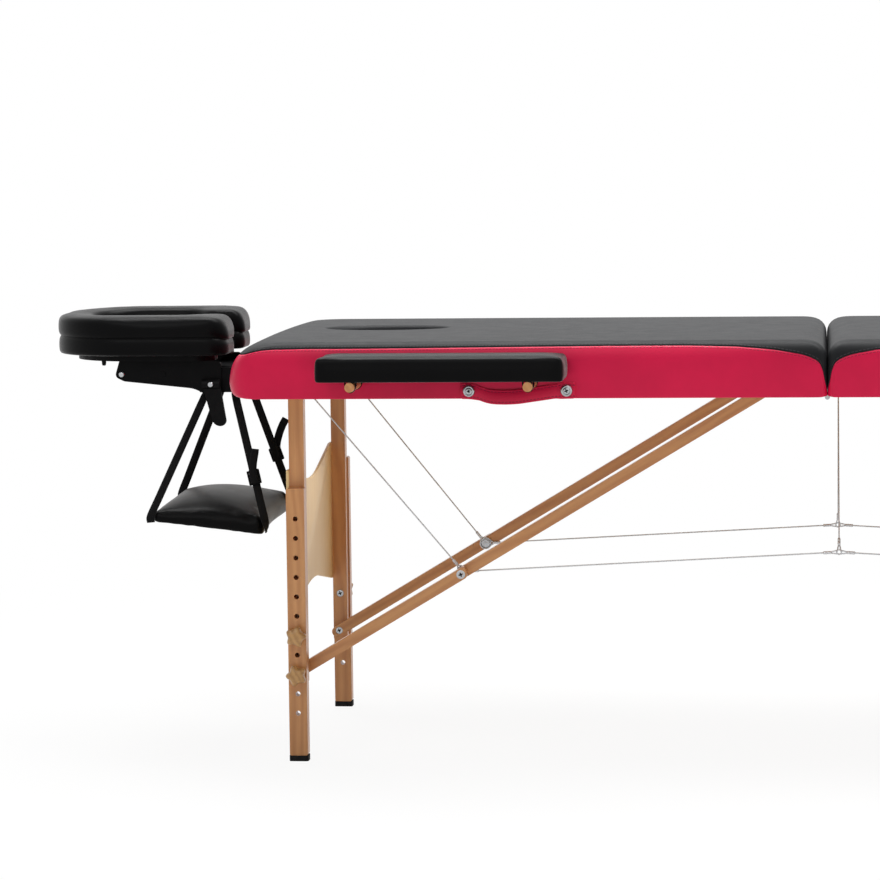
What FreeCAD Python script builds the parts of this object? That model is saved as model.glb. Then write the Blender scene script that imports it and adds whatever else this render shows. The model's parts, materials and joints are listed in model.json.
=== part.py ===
"""Folding massage table with a tilting face cradle, an arm sling and two armrests.

Millimetres, +Z up, feet on Z = 0. The table is drawn about its fold line (X = 0): the head half lies
towards -X, the foot half is its mirror image, and the near long side lies towards -Y. The finished
pieces are then moved along X so that the origin is under the middle of the whole object.
"""

import FreeCAD, Part
import math
import os
import re
import types

from FreeCAD import Placement, Rotation, Vector

# Driving dimensions, one cell each
SIZES = {
    # upholstered half
    "half_length": 930,
    "table_width": 680,
    "fold_gap": 3,
    "rail_height": 45,
    "rail_thickness": 20,
    "deck_thickness": 5,
    "foam_thickness": 40,
    "vinyl_thickness": 2,
    "end_padding": 22,
    "corner_radius": 45,
    "end_radius": 56,
    "fold_radius": 26,
    "hem_radius": 12,
    "edge_radius": 24,
    "crown_rise": 4,
    "face_hole_inset": 212,
    "face_hole_length": 197,
    "face_hole_width": 118,
    # fits
    "lap_gap": 0.3,
    "running_clearance": 0.1,
    "hole_clearance": 0.3,
    "drill_clearance": 0.8,
    # telescopic legs
    "leg_inset": 95,
    "leg_inner_y": 227,
    "leg_width": 24,
    "leg_thickness": 22,
    "leg_span": 466,
    "leg_tail": 18,
    "pivot_rise": 22,
    "extension_width": 29,
    "extension_thickness": 22,
    "extension_length": 426,
    "corner_round": 3,
    "hole_pitch": 31,
    "hole_count": 11,
    "low_hole_rise": 68,
    "holes_below": 2,
    "holes_between": 2,
    "foot_height": 9,
    "foot_border": 0.8,
    "foot_round": 4,
    # plywood panel between the legs of one half
    "panel_thickness": 5,
    "panel_top": 316,
    "panel_dip": 25,
    "panel_shoulder": 50,
    "panel_bottom": 89,
    "panel_arch": 36,
    "panel_leg_cover": 24,
    # bolts and star knobs
    "bolt_radius": 3.2,
    "head_radius": 6,
    "head_depth": 3,
    "nut_radius": 7,
    "nut_height": 6,
    "knob_radius": 21,
    "knob_waist": 11.5,
    "knob_lobes": 5,
    "knob_lobe_round": 4.5,
    "knob_height": 24,
    "bolt_reach": 16,
    # folding struts
    "strut_x": 42,
    "strut_rise": 32,
    "strut_width": 18,
    "strut_thickness": 18,
    "strut_tail": 13,
    "knee_tail": 11,
    # pivot blocks under the deck
    "block_thickness": 25,
    "block_length": 60,
    "block_rise": 5,
    "strut_block_length": 75,
    # fold hinges
    "hinge_y": 262,
    "hinge_drop": 4.5,
    "hinge_leaf": 24,
    "leaf_thickness": 2,
    "knuckle_radius": 4,
    "knuckle_length": 20,
    "knuckle_count": 3,
    "pin_radius": 2,
    # carry handles
    "handle_share": 0.51,
    "handle_span": 151,
    "handle_rise": 11,
    "handle_tab": 23,
    "handle_strap": 23,
    "handle_sag": 13,
    "handle_thickness": 4,
    "washer_radius": 8.2,
    "washer_height": 3,
    # steel cables
    "cable_radius": 1.1,
    "cable_centre_x": 18,
    "cable_centre_drop": 258,
    "sleeve_radius": 2.4,
    "sleeve_length": 13,
    # armrests
    "armrest_inset": 343,
    "armrest_length": 380,
    "armrest_width": 100,
    "armrest_height": 38,
    "armrest_gap": 3,
    "armrest_round": 11,
    "armrest_crown": 3,
    "dowel_radius": 7.5,
    "dowel_rise": 24,
    "dowel_spread": 136,
    "dowel_inner_y": 302,
    "dowel_outer_margin": 4,
    # face cradle
    "base_length": 60,
    "base_height": 40,
    "base_half_width": 103,
    "base_gap": 24,
    "base_drop": 8,
    "rod_radius": 7,
    "rod_y": 80,
    "rod_rise": 22,
    "rod_depth": 100,
    "rod_grip": 40,
    "socket_width": 34,
    "socket_length": 78,
    "tilt_inset": 21,
    "tilt_rise": 14,
    "cradle_plate_thickness": 4,
    "cradle_plate_reach": 160,
    "cradle_plate_nose": 26,
    "plate_boss": 15,
    "platform_thickness": 9,
    "platform_rise": 38,
    "platform_inset": 16,
    "platform_nose": 32,
    "platform_band": 25,
    "platform_setback": 26,
    "rivet_radius": 4,
    "cushion_length": 299,
    "cushion_width": 280,
    "cushion_height": 64,
    "cushion_back": 29,
    "cushion_round": 20,
    "cushion_lip_round": 30,
    "cushion_nose_round": 128,
    "cushion_arm_round": 34,
    "cushion_edge": 9,
    "cushion_band": 57,
    "face_opening_width": 140,
    "face_slot_width": 72,
    "lever_length": 68,
    "lever_width": 29,
    "lever_thickness": 6,
    "lever_lean": 11,
    "cam_radius": 8,
    # arm sling
    "sling_length": 184,
    "sling_width": 280,
    "sling_thickness": 56,
    "sling_drop": 175,
    "sling_offset": 6,
    "sling_round": 17,
    "sling_crown": 18,
    "sling_pull": 7,
    "strap_width": 17,
    "strap_thickness": 2.5,
    "strap_front": 45,
    "strap_top_y": 80,
    "strap_margin": 9,
    "buckle_width": 24,
    "buckle_length": 26,
    "buckle_thickness": 8,
    "buckle_front_share": 0.64,
    "buckle_back_share": 0.62,
}

# Places and lengths worked out from the cells
DERIVED = {
    "leg_x": "half_length - leg_inset",
    "face_hole_x": "half_length - face_hole_inset",
    "armrest_x": "half_length - armrest_inset",
    "handle_x": "half_length * handle_share",
    "bolt_z": "foot_height + low_hole_rise + holes_below * hole_pitch",
    "upper_bolt_z": "bolt_z + holes_between * hole_pitch",
    "pivot_z": "bolt_z + leg_span",
    "under_z": "pivot_z - pivot_rise",
    "deck_z": "under_z + rail_height",
    "foam_z": "deck_z + deck_thickness",
    "top_z": "foam_z + foam_thickness",
    "half_width": "table_width / 2",
    "frame_half_width": "half_width - vinyl_thickness",
    "frame_end_x": "half_length - end_padding",
    "frame_fold_x": "fold_gap / 2 + vinyl_thickness",
    "rail_inner_y": "frame_half_width - rail_thickness",
    "bolt_hole": "bolt_radius + hole_clearance",
    "drill_hole": "bolt_radius + drill_clearance",
    "pivot_hole": "bolt_radius + running_clearance",
    "leg_outer_y": "leg_inner_y + leg_thickness",
    "extension_y": "leg_outer_y + lap_gap",
    "knob_y": "extension_y + extension_thickness + lap_gap",
    "lower_strut_y": "leg_inner_y - lap_gap - strut_thickness",
    "upper_strut_y": "lower_strut_y - lap_gap - strut_thickness",
    "pivot_distance": "leg_x - strut_x",
    "strut_z": "under_z + strut_rise",
    "brace_height": "strut_z - bolt_z",
    "brace_length": "sqrt(pivot_distance * pivot_distance + brace_height * brace_height)",
    "fold_offset": "pivot_distance - leg_span",
    "fold_step": "strut_rise - pivot_rise",
    "upper_square": "brace_length * brace_length - fold_offset * fold_offset - fold_step * fold_step",
    "upper_reach": "upper_square / (2 * (brace_length - fold_offset))",
    "lower_reach": "brace_length - upper_reach",
    "knee_x": "leg_x - lower_reach * pivot_distance / brace_length",
    "knee_z": "bolt_z + lower_reach * brace_height / brace_length",
    "hinge_z": "under_z - hinge_drop",
    "pad_inner_y": "half_width + armrest_gap",
    "dowel_z": "under_z + dowel_rise",
    "rod_z": "under_z + rod_rise",
    "base_x": "half_length + base_gap + base_length",
    "base_z": "under_z - base_drop",
    "tilt_x": "base_x - tilt_inset",
    "tilt_z": "base_z + tilt_rise",
    "plate_y": "base_half_width + lap_gap",
    "platform_z": "tilt_z + platform_rise",
    "cushion_z": "platform_z + platform_thickness",
    "cushion_near_x": "tilt_x - cushion_back",
    "cushion_far_x": "cushion_near_x + cushion_length",
    "lever_y": "plate_y + cradle_plate_thickness + lap_gap",
    "sling_x": "tilt_x + sling_offset",
    "sling_z": "base_z - sling_drop",
    "cable_y": "upper_strut_y - nut_height / 2",
    "cable_centre_z": "under_z - cable_centre_drop",
}

doc = FreeCAD.newDocument("massage_table")
sheet = doc.addObject("Spreadsheet::Sheet", "Sizes")
derived = doc.addObject("App::FeaturePython", "Derived")
nodes = {}


def bound(text):
    """Put the owner's name before each size in an expression."""

    def owner(match):
        word = match.group(0)
        if word in SIZES:
            return "Sizes." + word
        return "Derived." + word if word in DERIVED else word

    return re.sub(r"[a-z]\w*", owner, text)


def read_sizes():
    """Fill the sheet, work the derived places out, and return every value under its name."""
    for row, (alias, number) in enumerate(SIZES.items(), start=1):
        sheet.set(f"A{row}", alias)
        sheet.set(f"B{row}", str(number))
        sheet.setAlias(f"B{row}", alias)
    doc.recompute()
    for name, text in DERIVED.items():
        derived.addProperty("App::PropertyFloat", name)
        derived.setExpression(name, bound(text))
    doc.recompute()
    values = {alias: float(sheet.get(alias)) for alias in SIZES}
    values.update({name: float(getattr(derived, name)) for name in DERIVED})
    return types.SimpleNamespace(**values)


S = read_sizes()


def place(obj, x="0", y="0", z="0"):
    """Bind an object's position to expressions."""
    for axis, text in zip("xyz", (x, y, z)):
        obj.setExpression("Placement.Base." + axis, bound(str(text)))
    return obj


def box(name, x, y, z):
    """A box from a (start, length) pair of expressions along each axis."""
    obj = doc.addObject("Part::Box", name)
    for prop, span in zip(("Length", "Width", "Height"), (x, y, z)):
        obj.setExpression(prop, bound(str(span[1])))
    return place(obj, x[0], y[0], z[0])


TURNS = {
    "X": Rotation(Vector(0, 1, 0), 90),
    "Y": Rotation(Vector(1, 0, 0), -90),
    "Z": Rotation(),
}


def rod(name, axis, radius, length, x, y, z):
    """A cylinder along +X, +Y or +Z from the given point."""
    obj = doc.addObject("Part::Cylinder", name)
    obj.setExpression("Radius", bound(str(radius)))
    obj.setExpression("Height", bound(str(length)))
    obj.Placement = Placement(Vector(), TURNS[axis])
    return place(obj, x, y, z)


def rounded(corners):
    """Lines and arcs round a closed outline of (u, v, corner radius) points."""
    count = len(corners)
    points = [Vector(u, v, 0) for u, v, radius in corners]
    starts = []
    ends = []
    for i, (u, v, radius) in enumerate(corners):
        here = points[i]
        back = points[i - 1] - here
        ahead = points[(i + 1) % count] - here
        half_turn = back.getAngle(ahead) / 2
        reach = radius / math.tan(half_turn)
        reach = min(reach, 0.49 * back.Length, 0.49 * ahead.Length)
        starts.append(here + back.normalize() * reach)
        ends.append(here + ahead.normalize() * reach)
    pieces = []
    for i, here in enumerate(points):
        if (starts[i] - ends[i]).Length > 0.001:
            reach = (starts[i] - here).Length
            inward = (starts[i] + ends[i]) * 0.5 - here
            half_turn = math.acos(min(1, inward.Length / reach))
            radius = reach * math.tan(half_turn)
            middle = here + inward.normalize() * (reach / math.cos(half_turn) - radius)
            pieces.append(Part.Arc(starts[i], middle, ends[i]))
        onward = starts[(i + 1) % count]
        if (onward - ends[i]).Length > 0.001:
            pieces.append(Part.LineSegment(ends[i], onward))
    return pieces


def circle(u, v, radius):
    """A round outline."""
    return [Part.Circle(Vector(u, v, 0), Vector(0, 0, 1), radius)]


def slab(name, plane, outlines, start, depth):
    """A sketched outline, with its inner outlines as openings, padded along the plane's axis."""
    body = doc.addObject("PartDesign::Body", name)
    sketch = body.newObject("Sketcher::SketchObject", name + "_outline")
    planes = [f for f in body.Origin.OriginFeatures if f.Role == plane + "_Plane"]
    sketch.AttachmentSupport = [(planes[0], "")]
    sketch.MapMode = "FlatFace"
    backwards = plane == "XZ"
    offset = f"-({start})" if backwards else str(start)
    sketch.setExpression("AttachmentOffset.Base.z", bound(offset))
    for outline in outlines:
        sketch.addGeometry(outline, False)
    pad = body.newObject("PartDesign::Pad", name + "_pad")
    pad.Profile = sketch
    pad.setExpression("Length", bound(str(depth)))
    pad.Reversed = backwards
    return body


def group(name, *members):
    """Several separate solids kept together."""
    obj = doc.addObject("Part::Compound", name)
    obj.Links = list(members)
    return obj


def fused(name, *members):
    """Several shapes joined into one solid."""
    obj = doc.addObject("Part::MultiFuse", name)
    obj.Shapes = list(members)
    return obj


def common(name, *members):
    """What several shapes share."""
    obj = doc.addObject("Part::MultiCommon", name)
    obj.Shapes = list(members)
    return obj


def cut(name, base, *tools):
    """A shape less one or more others."""
    obj = doc.addObject("Part::Cut", name)
    obj.Base = base
    obj.Tool = tools[0] if len(tools) == 1 else group(name + "_tools", *tools)
    return obj


def mirrored(name, source, normal):
    """A mirror image in the plane through the fold line's middle."""
    obj = doc.addObject("Part::Mirroring", name)
    obj.Source = source
    obj.Base = Vector(0, 0, 0)
    obj.Normal = normal
    return obj


ACROSS = Vector(0, 1, 0)
ALONG = Vector(1, 0, 0)


def both_sides(name, source):
    """A piece on the far side and its image on the near side."""
    return group(name, source, mirrored(name + "_near", source, ACROSS))


def node(name, obj):
    """Name a finished piece."""
    obj.Label = name
    nodes[name] = obj
    return obj


def both_halves(name, head_piece):
    """The head half's piece and its image on the foot half."""
    node("head_" + name, head_piece)
    node("foot_" + name, mirrored("foot_" + name, head_piece, ALONG))


def rectangle(u0, u1, v0, v1, radius):
    """A rectangle with equal corners."""
    return rounded([(u0, v0, radius), (u1, v0, radius), (u1, v1, radius), (u0, v1, radius)])


def crowned(u0, u1, v0, v1, low_radius, high_radius, crown):
    """A section with a gently arched top."""
    middle = (u0 + u1) / 2
    shoulder = v1 - crown
    arch = (u1 - u0) ** 2 / (16 * crown)
    return rounded(
        [
            (u0, v0, low_radius),
            (u1, v0, low_radius),
            (u1, shoulder, high_radius),
            (middle, v1, arch),
            (u0, shoulder, high_radius),
        ]
    )


def upholstered_block(name, fold_end_x):
    """The outer form of one upholstered half, the head end towards -X."""
    side = rounded(
        [
            (-S.half_length, S.under_z, S.hem_radius),
            (fold_end_x, S.under_z, S.hem_radius / 4),
            (fold_end_x, S.top_z, S.fold_radius),
            (-S.half_length, S.top_z, S.end_radius),
        ]
    )
    end = crowned(
        -S.half_width, S.half_width, S.under_z, S.top_z, S.hem_radius / 4, S.edge_radius, S.crown_rise
    )
    plan = rounded(
        [
            (-S.half_length, -S.half_width, S.corner_radius),
            (fold_end_x, -S.half_width, S.hem_radius),
            (fold_end_x, S.half_width, S.hem_radius),
            (-S.half_length, S.half_width, S.corner_radius),
        ]
    )
    return common(
        name,
        slab(name + "_side", "XZ", [side], "-half_width", "table_width"),
        slab(name + "_end", "YZ", [end], "-half_length", "half_length"),
        slab(name + "_plan", "XY", [plan], "under_z", "top_z - under_z"),
    )


def frame_outline(inset=0.0):
    """The plan of the rails' outer faces, or of their inner faces."""
    return rectangle(
        inset - S.frame_end_x,
        -S.frame_fold_x - inset,
        inset - S.frame_half_width,
        S.frame_half_width - inset,
        S.corner_radius - S.end_padding if inset == 0 else S.corner_round,
    )


def face_hole(name, start, depth):
    """The oval opening for the face."""
    oval = Part.Ellipse(Vector(-S.face_hole_x, 0, 0), S.face_hole_length / 2, S.face_hole_width / 2)
    return slab(name, "XY", [[oval]], start, depth)


def side_bores(name, radius):
    """The four dowel holes and two rod holes through the head half's rails."""
    bores = []
    for spread in ("-dowel_spread", "dowel_spread"):
        bores.append(
            rod(name + "_dowel", "Y", radius("dowel_radius"), "table_width", f"-armrest_x + {spread}",
                "-half_width", "dowel_z")
        )
    for side in ("-rod_y", "rod_y"):
        bores.append(
            rod(name + "_rod", "X", radius("rod_radius"), "rod_depth + end_padding", "-half_length",
                side, "rod_z")
        )
    return bores


def loose(radius):
    """A bore with running room."""
    return f"{radius} + hole_clearance"


def upholstery():
    """Foam and vinyl of both halves; only the head half has the face hole and the side bores."""
    for half in ("head", "foot"):
        block = upholstered_block(half + "_block", -S.fold_gap / 2)
        over = box(half + "_over", ("-half_length", "half_length"), ("-half_width", "table_width"),
                   ("foam_z", "foam_thickness"))
        below = box(half + "_below", ("-half_length", "half_length"), ("-half_width", "table_width"),
                    ("under_z", "foam_z - under_z"))
        core = slab(half + "_core", "XY", [frame_outline()], "under_z", "foam_z - under_z")
        cushion = common(half + "_foam", block, over)
        skirt = cut(half + "_wrap", common(half + "_wrap_block", block, below), core)
        if half == "head":
            node("head_cushion", cut("head_pad", cushion, face_hole("pad_hole", "foam_z", "foam_thickness")))
            node("head_skirt", cut("head_cover", skirt, *side_bores("cover_bore", loose)))
        else:
            node("foot_cushion", mirrored("foot_pad", cushion, ALONG))
            node("foot_skirt", mirrored("foot_cover", skirt, ALONG))


def deck():
    """Plywood decks on the rails."""
    plain = slab("plain_deck", "XY", [frame_outline()], "deck_z", "deck_thickness")
    holed = cut("holed_deck", plain, face_hole("deck_hole", "deck_z", "deck_thickness"))
    node("head_deck", holed)
    node("foot_deck", mirrored("foot_ply", plain, ALONG))


def pivot_blocks():
    """Blocks under the deck that carry the legs and the struts of one half."""
    tall = ("under_z + block_rise", "rail_height - block_rise")
    leg_block = box("leg_block", ("-leg_x - block_length / 2", "block_length"),
                    ("leg_outer_y + lap_gap", "block_thickness"), tall)
    leg_hole = rod("leg_block_hole", "Y", "bolt_radius", "block_thickness", "-leg_x",
                   "leg_outer_y + lap_gap", "pivot_z")
    strut_block = box("strut_block",
                      ("-frame_fold_x - rail_thickness - strut_block_length", "strut_block_length"),
                      ("lower_strut_y", "strut_thickness"), tall)
    strut_hole = rod("strut_block_hole", "Y", "bolt_radius", "strut_thickness", "-strut_x",
                     "lower_strut_y", "strut_z")
    return group(
        "pivot_blocks",
        both_sides("leg_blocks", cut("bored_leg_block", leg_block, leg_hole)),
        both_sides("strut_blocks", cut("bored_strut_block", strut_block, strut_hole)),
    )


def frames():
    """Glued rails with their pivot blocks, and the head half's sockets for the cradle rods."""
    rails = slab("rails", "XY", [frame_outline(), frame_outline(S.rail_thickness)], "under_z", "rail_height")
    blocks = pivot_blocks()
    socket = box("socket", ("-frame_end_x + rail_thickness", "socket_length"),
                 ("rod_y - socket_width / 2", "socket_width"),
                 ("under_z + block_rise", "rail_height - block_rise"))
    bore = rod("socket_bore", "X", loose("rod_radius"), "rod_depth", "-half_length", "rod_y", "rod_z")
    bored = cut("bored_rails", rails, *side_bores("rail_bore", loose))
    sockets = both_sides("sockets", cut("bored_socket", socket, bore))
    node("head_frame", group("head_rails", bored, blocks, sockets))
    node("foot_frame", mirrored("foot_rails", group("foot_rails_source", rails, blocks), ALONG))


def hinge_leaf(name, first):
    """One leaf of the far fold hinge, with every second knuckle from the first."""
    leaf = box(name + "_plate", ("-hinge_leaf - knuckle_radius - 2 * lap_gap", "hinge_leaf"),
               ("hinge_y - knuckle_length * knuckle_count / 2", "knuckle_length * knuckle_count"),
               ("under_z - leaf_thickness", "leaf_thickness"))
    members = [leaf]
    for i in range(first, int(S.knuckle_count), 2):
        start = f"hinge_y - knuckle_length * (knuckle_count / 2 - {i}) + lap_gap / 2"
        long = "knuckle_length - lap_gap"
        members.append(rod(f"{name}_knuckle", "Y", "knuckle_radius", long, "0", start, "hinge_z"))
        members.append(
            box(f"{name}_tongue", ("-knuckle_radius - 2 * lap_gap", "knuckle_radius + 2 * lap_gap"),
                (start, long), ("under_z - leaf_thickness", "leaf_thickness - lap_gap"))
        )
    joined = fused(name + "_joined", *members)
    bore = rod(name + "_bore", "Y", "pin_radius + running_clearance", "knuckle_length * knuckle_count", "0",
               "hinge_y - knuckle_length * knuckle_count / 2", "hinge_z")
    return cut(name, joined, bore)


def pivot_bolt(name, start, end, x, z):
    """A pivot bolt across the far side from its block to its nut on the inner face."""
    shank = rod(name + "_shank", "Y", "bolt_radius", f"({end}) - ({start})", x, start, z)
    nut = rod(name + "_nut", "Y", "nut_radius", "nut_height", x, f"({start}) - nut_height", z)
    return fused(name, shank, nut)


def handle_screw(name, x):
    """A screw on its cup washer at one end of the near carry handle."""
    front = "-half_width - lap_gap - handle_thickness - washer_height"
    washer = rod(name + "_washer", "Y", "washer_radius", "washer_height", x, front, "under_z + handle_rise")
    shank = rod(name + "_shank", "Y", "bolt_radius", "handle_thickness + lap_gap + washer_height", x,
                front, "under_z + handle_rise")
    return fused(name, washer, shank)


def hardware():
    """Hinge leaves, pivot bolts and handle screws fixed to each half."""
    leg_bolt = pivot_bolt("leg_bolt", "leg_inner_y - lap_gap", "extension_y + block_thickness",
                          "-leg_x", "pivot_z")
    strut_bolt = pivot_bolt("strut_bolt", "upper_strut_y - lap_gap", "leg_inner_y - lap_gap",
                            "-strut_x", "strut_z")
    bolts = group(
        "fixed_bolts",
        both_sides("leg_bolts", leg_bolt),
        both_sides("strut_bolts", strut_bolt),
        handle_screw("outer_screw", "-handle_x - handle_span / 2"),
        handle_screw("inner_screw", "-handle_x + handle_span / 2"),
    )
    head_leaves = both_sides("head_leaves", hinge_leaf("head_leaf", 0))
    foot_leaves = both_sides("foot_leaves", hinge_leaf("foot_leaf", 1))
    node("head_hardware", group("head_metal", bolts, head_leaves))
    foot_metal = mirrored("foot_metal", group("foot_metal_source", bolts, foot_leaves), ALONG)
    eye = rod("cable_eye", "Z", "nut_radius", "leaf_thickness", "cable_centre_x", "0",
              "under_z - leaf_thickness")
    node("foot_hardware", group("foot_metal_all", foot_metal, eye))
    pin = rod("hinge_pin", "Y", "pin_radius", "knuckle_length * knuckle_count", "0",
              "hinge_y - knuckle_length * knuckle_count / 2", "hinge_z")
    node("fold_hinge_pins", both_sides("hinge_pins", pin))


def handles():
    """A flat carry strap on the near side of each half, hanging a little below the edge."""
    left = -S.handle_x - S.handle_span / 2
    right = -S.handle_x + S.handle_span / 2
    tab = S.handle_tab / 2
    level = S.under_z + S.handle_rise
    foot = S.under_z - S.handle_sag
    bend = S.handle_strap
    strap = rounded(
        [
            (left - tab, level - tab, S.corner_round),
            (left + tab, level - tab, bend),
            (left + 2 * tab, foot, bend),
            (right - 2 * tab, foot, bend),
            (right - tab, level - tab, bend),
            (right + tab, level - tab, S.corner_round),
            (right + tab, level + tab, S.corner_round),
            (right - tab, level + tab, bend),
            (right - 2 * tab, foot + S.handle_strap, bend),
            (left + 2 * tab, foot + S.handle_strap, bend),
            (left + tab, level + tab, bend),
            (left - tab, level + tab, S.corner_round),
        ]
    )
    holes = [circle(x, level, S.pivot_hole) for x in (left, right)]
    back = "-half_width - lap_gap - handle_thickness + running_clearance"
    both_halves("handle", slab("handle", "XZ", [strap] + holes, back, "handle_thickness - running_clearance"))


def bar(name, start, end, width, tails, rounds, holes, y, depth):
    """A straight bar in a plane of constant Y between two bolt centres, with a tail past each."""
    along = Vector(end[0] - start[0], end[1] - start[1], 0).normalize()
    aside = Vector(-along.y, along.x, 0) * (width / 2)
    first = Vector(start[0], start[1], 0) - along * tails[0]
    last = Vector(end[0], end[1], 0) + along * tails[1]
    ring = [first - aside, last - aside, last + aside, first + aside]
    outline = rounded([(point.x, point.y, radius) for point, radius in zip(ring, rounds)])
    bores = [circle(point[0], point[1], radius) for point, radius in zip((start, end), holes)]
    return slab(name, "XZ", [outline] + bores, y, depth)


def flush_bolt(name, start, z):
    """A knob bolt, its head let into the piece whose inner face is at start."""
    head = rod(name + "_head", "Y", "head_radius", "head_depth", "-leg_x", f"{start} + lap_gap", z)
    shank = rod(name + "_shank", "Y", "bolt_radius", f"knob_y + bolt_reach - ({start}) - lap_gap", "-leg_x",
                f"{start} + lap_gap", z)
    return fused(name, head, shank)


def head_recess(name, start, z):
    """The counterbore for a flush bolt head."""
    return rod(name, "Y", "head_radius + hole_clearance", "head_depth + 2 * lap_gap", "-leg_x", start, z)


def legs():
    """Upper legs with their plywood panel and the knob bolts."""
    top = S.leg_width / 2
    outline = rounded(
        [
            (-S.leg_x - top, S.bolt_z - S.leg_tail, S.corner_round),
            (-S.leg_x + top, S.bolt_z - S.leg_tail, S.corner_round),
            (-S.leg_x + top, S.pivot_z + top, top),
            (-S.leg_x - top, S.pivot_z + top, top),
        ]
    )
    holes = [circle(-S.leg_x, S.pivot_z, S.pivot_hole)]
    holes += [circle(-S.leg_x, z, S.bolt_hole) for z in (S.bolt_z, S.upper_bolt_z)]
    post = slab("leg_post", "XZ", [outline] + holes, "leg_inner_y", "leg_thickness")
    leg = cut("leg", post, head_recess("leg_recess", "leg_inner_y", "upper_bolt_z"))
    both_halves("legs", both_sides("leg_pair", leg))
    both_halves(
        "leg_fasteners",
        group(
            "leg_bolts_all",
            both_sides("upper_knob_bolts", flush_bolt("upper_knob_bolt", "leg_inner_y", "upper_bolt_z")),
            both_sides("lower_knob_bolts", flush_bolt("lower_knob_bolt", "lower_strut_y", "bolt_z")),
        ),
    )
    panel()


def panel():
    """The plywood panel on the outer faces of the legs, dipped along its top and arched below."""
    side = S.leg_outer_y
    shoulder = side - S.panel_shoulder
    crest = S.bolt_z + S.panel_top
    hem = S.bolt_z + S.panel_bottom
    cover = side - S.panel_leg_cover
    flow = S.panel_shoulder
    outline = rounded(
        [
            (-side, hem, S.corner_round),
            (-cover, hem, flow),
            (0, hem + S.panel_arch, 2 * side),
            (cover, hem, flow),
            (side, hem, S.corner_round),
            (side, crest, S.corner_round),
            (shoulder, crest, flow),
            (shoulder - flow, crest - S.panel_dip, flow),
            (flow - shoulder, crest - S.panel_dip, flow),
            (-shoulder, crest, flow),
            (-side, crest, S.corner_round),
        ]
    )
    ply = slab("leg_ply", "YZ", [outline], "-leg_x - leg_width / 2 - panel_thickness", "panel_thickness")
    both_halves("leg_panel", ply)


def extensions():
    """Drilled leg extensions with rubber feet."""
    half = S.extension_width / 2
    foot = S.foot_height
    outline = rectangle(-S.leg_x - half, -S.leg_x + half, foot, foot + S.extension_length, S.corner_round)
    first = foot + S.low_hole_rise
    holes = [
        circle(-S.leg_x, first + i * S.hole_pitch, S.drill_hole)
        for i in range(int(S.hole_count))
    ]
    far = slab("extension", "XZ", [outline] + holes, "extension_y", "extension_thickness")
    border = half + S.foot_border
    pad = rectangle(
        -S.leg_x - border,
        -S.leg_x + border,
        S.extension_y - S.lap_gap / 2,
        S.extension_y + S.extension_thickness + S.foot_border,
        S.foot_round,
    )
    far_foot = slab("foot_pad", "XY", [pad], "0", "foot_height")
    both_halves("far_extension", far)
    both_halves("near_extension", mirrored("near_extension", far, ACROSS))
    both_halves("far_rubber_foot", far_foot)
    both_halves("near_rubber_foot", mirrored("near_rubber_foot", far_foot, ACROSS))


def knobs():
    """Lobed wooden knobs on the leg bolts."""
    lobes = int(S.knob_lobes)
    for level, z in (("lower", S.bolt_z), ("upper", S.upper_bolt_z)):
        star = []
        for i in range(2 * lobes):
            angle = math.pi / 2 + i * math.pi / lobes
            reach = S.knob_waist if i % 2 else S.knob_radius
            star.append((-S.leg_x + reach * math.cos(angle), z + reach * math.sin(angle), S.knob_lobe_round))
        bore = circle(-S.leg_x, z, S.pivot_hole)
        far = slab(level + "_knob", "XZ", [rounded(star), bore], "knob_y", "knob_height")
        both_halves(f"far_{level}_knob", far)
        both_halves(f"near_{level}_knob", mirrored(f"near_{level}_knob", far, ACROSS))


def struts():
    """Two-part folding struts from the lower leg bolt to the block by the fold."""
    foot = (-S.leg_x, S.bolt_z)
    knee = (-S.knee_x, S.knee_z)
    top = (-S.strut_x, S.strut_z)
    half = S.strut_width / 2
    tails = (S.strut_tail, S.knee_tail)
    rounds = (half, half, S.corner_round, half)
    low = bar("lower_bar", foot, knee, S.strut_width, tails, rounds, (S.pivot_hole, S.bolt_radius),
              "lower_strut_y", "strut_thickness")
    lower = cut("lower_strut", low, head_recess("strut_recess", "lower_strut_y", "bolt_z"))
    upper = bar("upper_strut", knee, top, S.strut_width, (half, half), (half, half, half, half),
                (S.bolt_radius, S.pivot_hole), "upper_strut_y", "strut_thickness")
    both_halves("lower_struts", both_sides("lower_strut_pair", lower))
    both_halves("upper_struts", both_sides("upper_strut_pair", upper))
    pin = rod("knee_pin", "Y", "bolt_radius", "strut_thickness", "-knee_x", "lower_strut_y", "knee_z")
    shank = rod("knee_shank", "Y", "bolt_radius", "strut_thickness", "-knee_x", "upper_strut_y", "knee_z")
    nut = rod("knee_nut", "Y", "nut_radius", "nut_height", "-knee_x", "upper_strut_y - nut_height", "knee_z")
    both_halves("knee_bolts", both_sides("knee_pins", pin))
    both_halves("knee_nuts", both_sides("knee_nut_pair", fused("knee_nut_shank", shank, nut)))


def cable(name, start, end, gaps):
    """A taut steel cable between two fixings, with a crimped sleeve at each end."""
    along = (end - start).normalize()
    begin = start + along * gaps[0]
    finish = end - along * gaps[1]
    turn = Rotation(Vector(0, 0, 1), along)
    rope = doc.addObject("Part::Cylinder", name + "_rope")
    rope.setExpression("Radius", bound("cable_radius"))
    rope.Height = (finish - begin).Length
    rope.Placement = Placement(begin, turn)
    sleeves = []
    for spot in (begin + along * S.sleeve_length, finish - along * 2 * S.sleeve_length):
        sleeve = doc.addObject("Part::Cylinder", name + "_sleeve")
        sleeve.setExpression("Radius", bound("sleeve_radius"))
        sleeve.setExpression("Height", bound("sleeve_length"))
        sleeve.Placement = Placement(spot, turn)
        sleeves.append(sleeve)
    return fused(name, rope, *sleeves)


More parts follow.
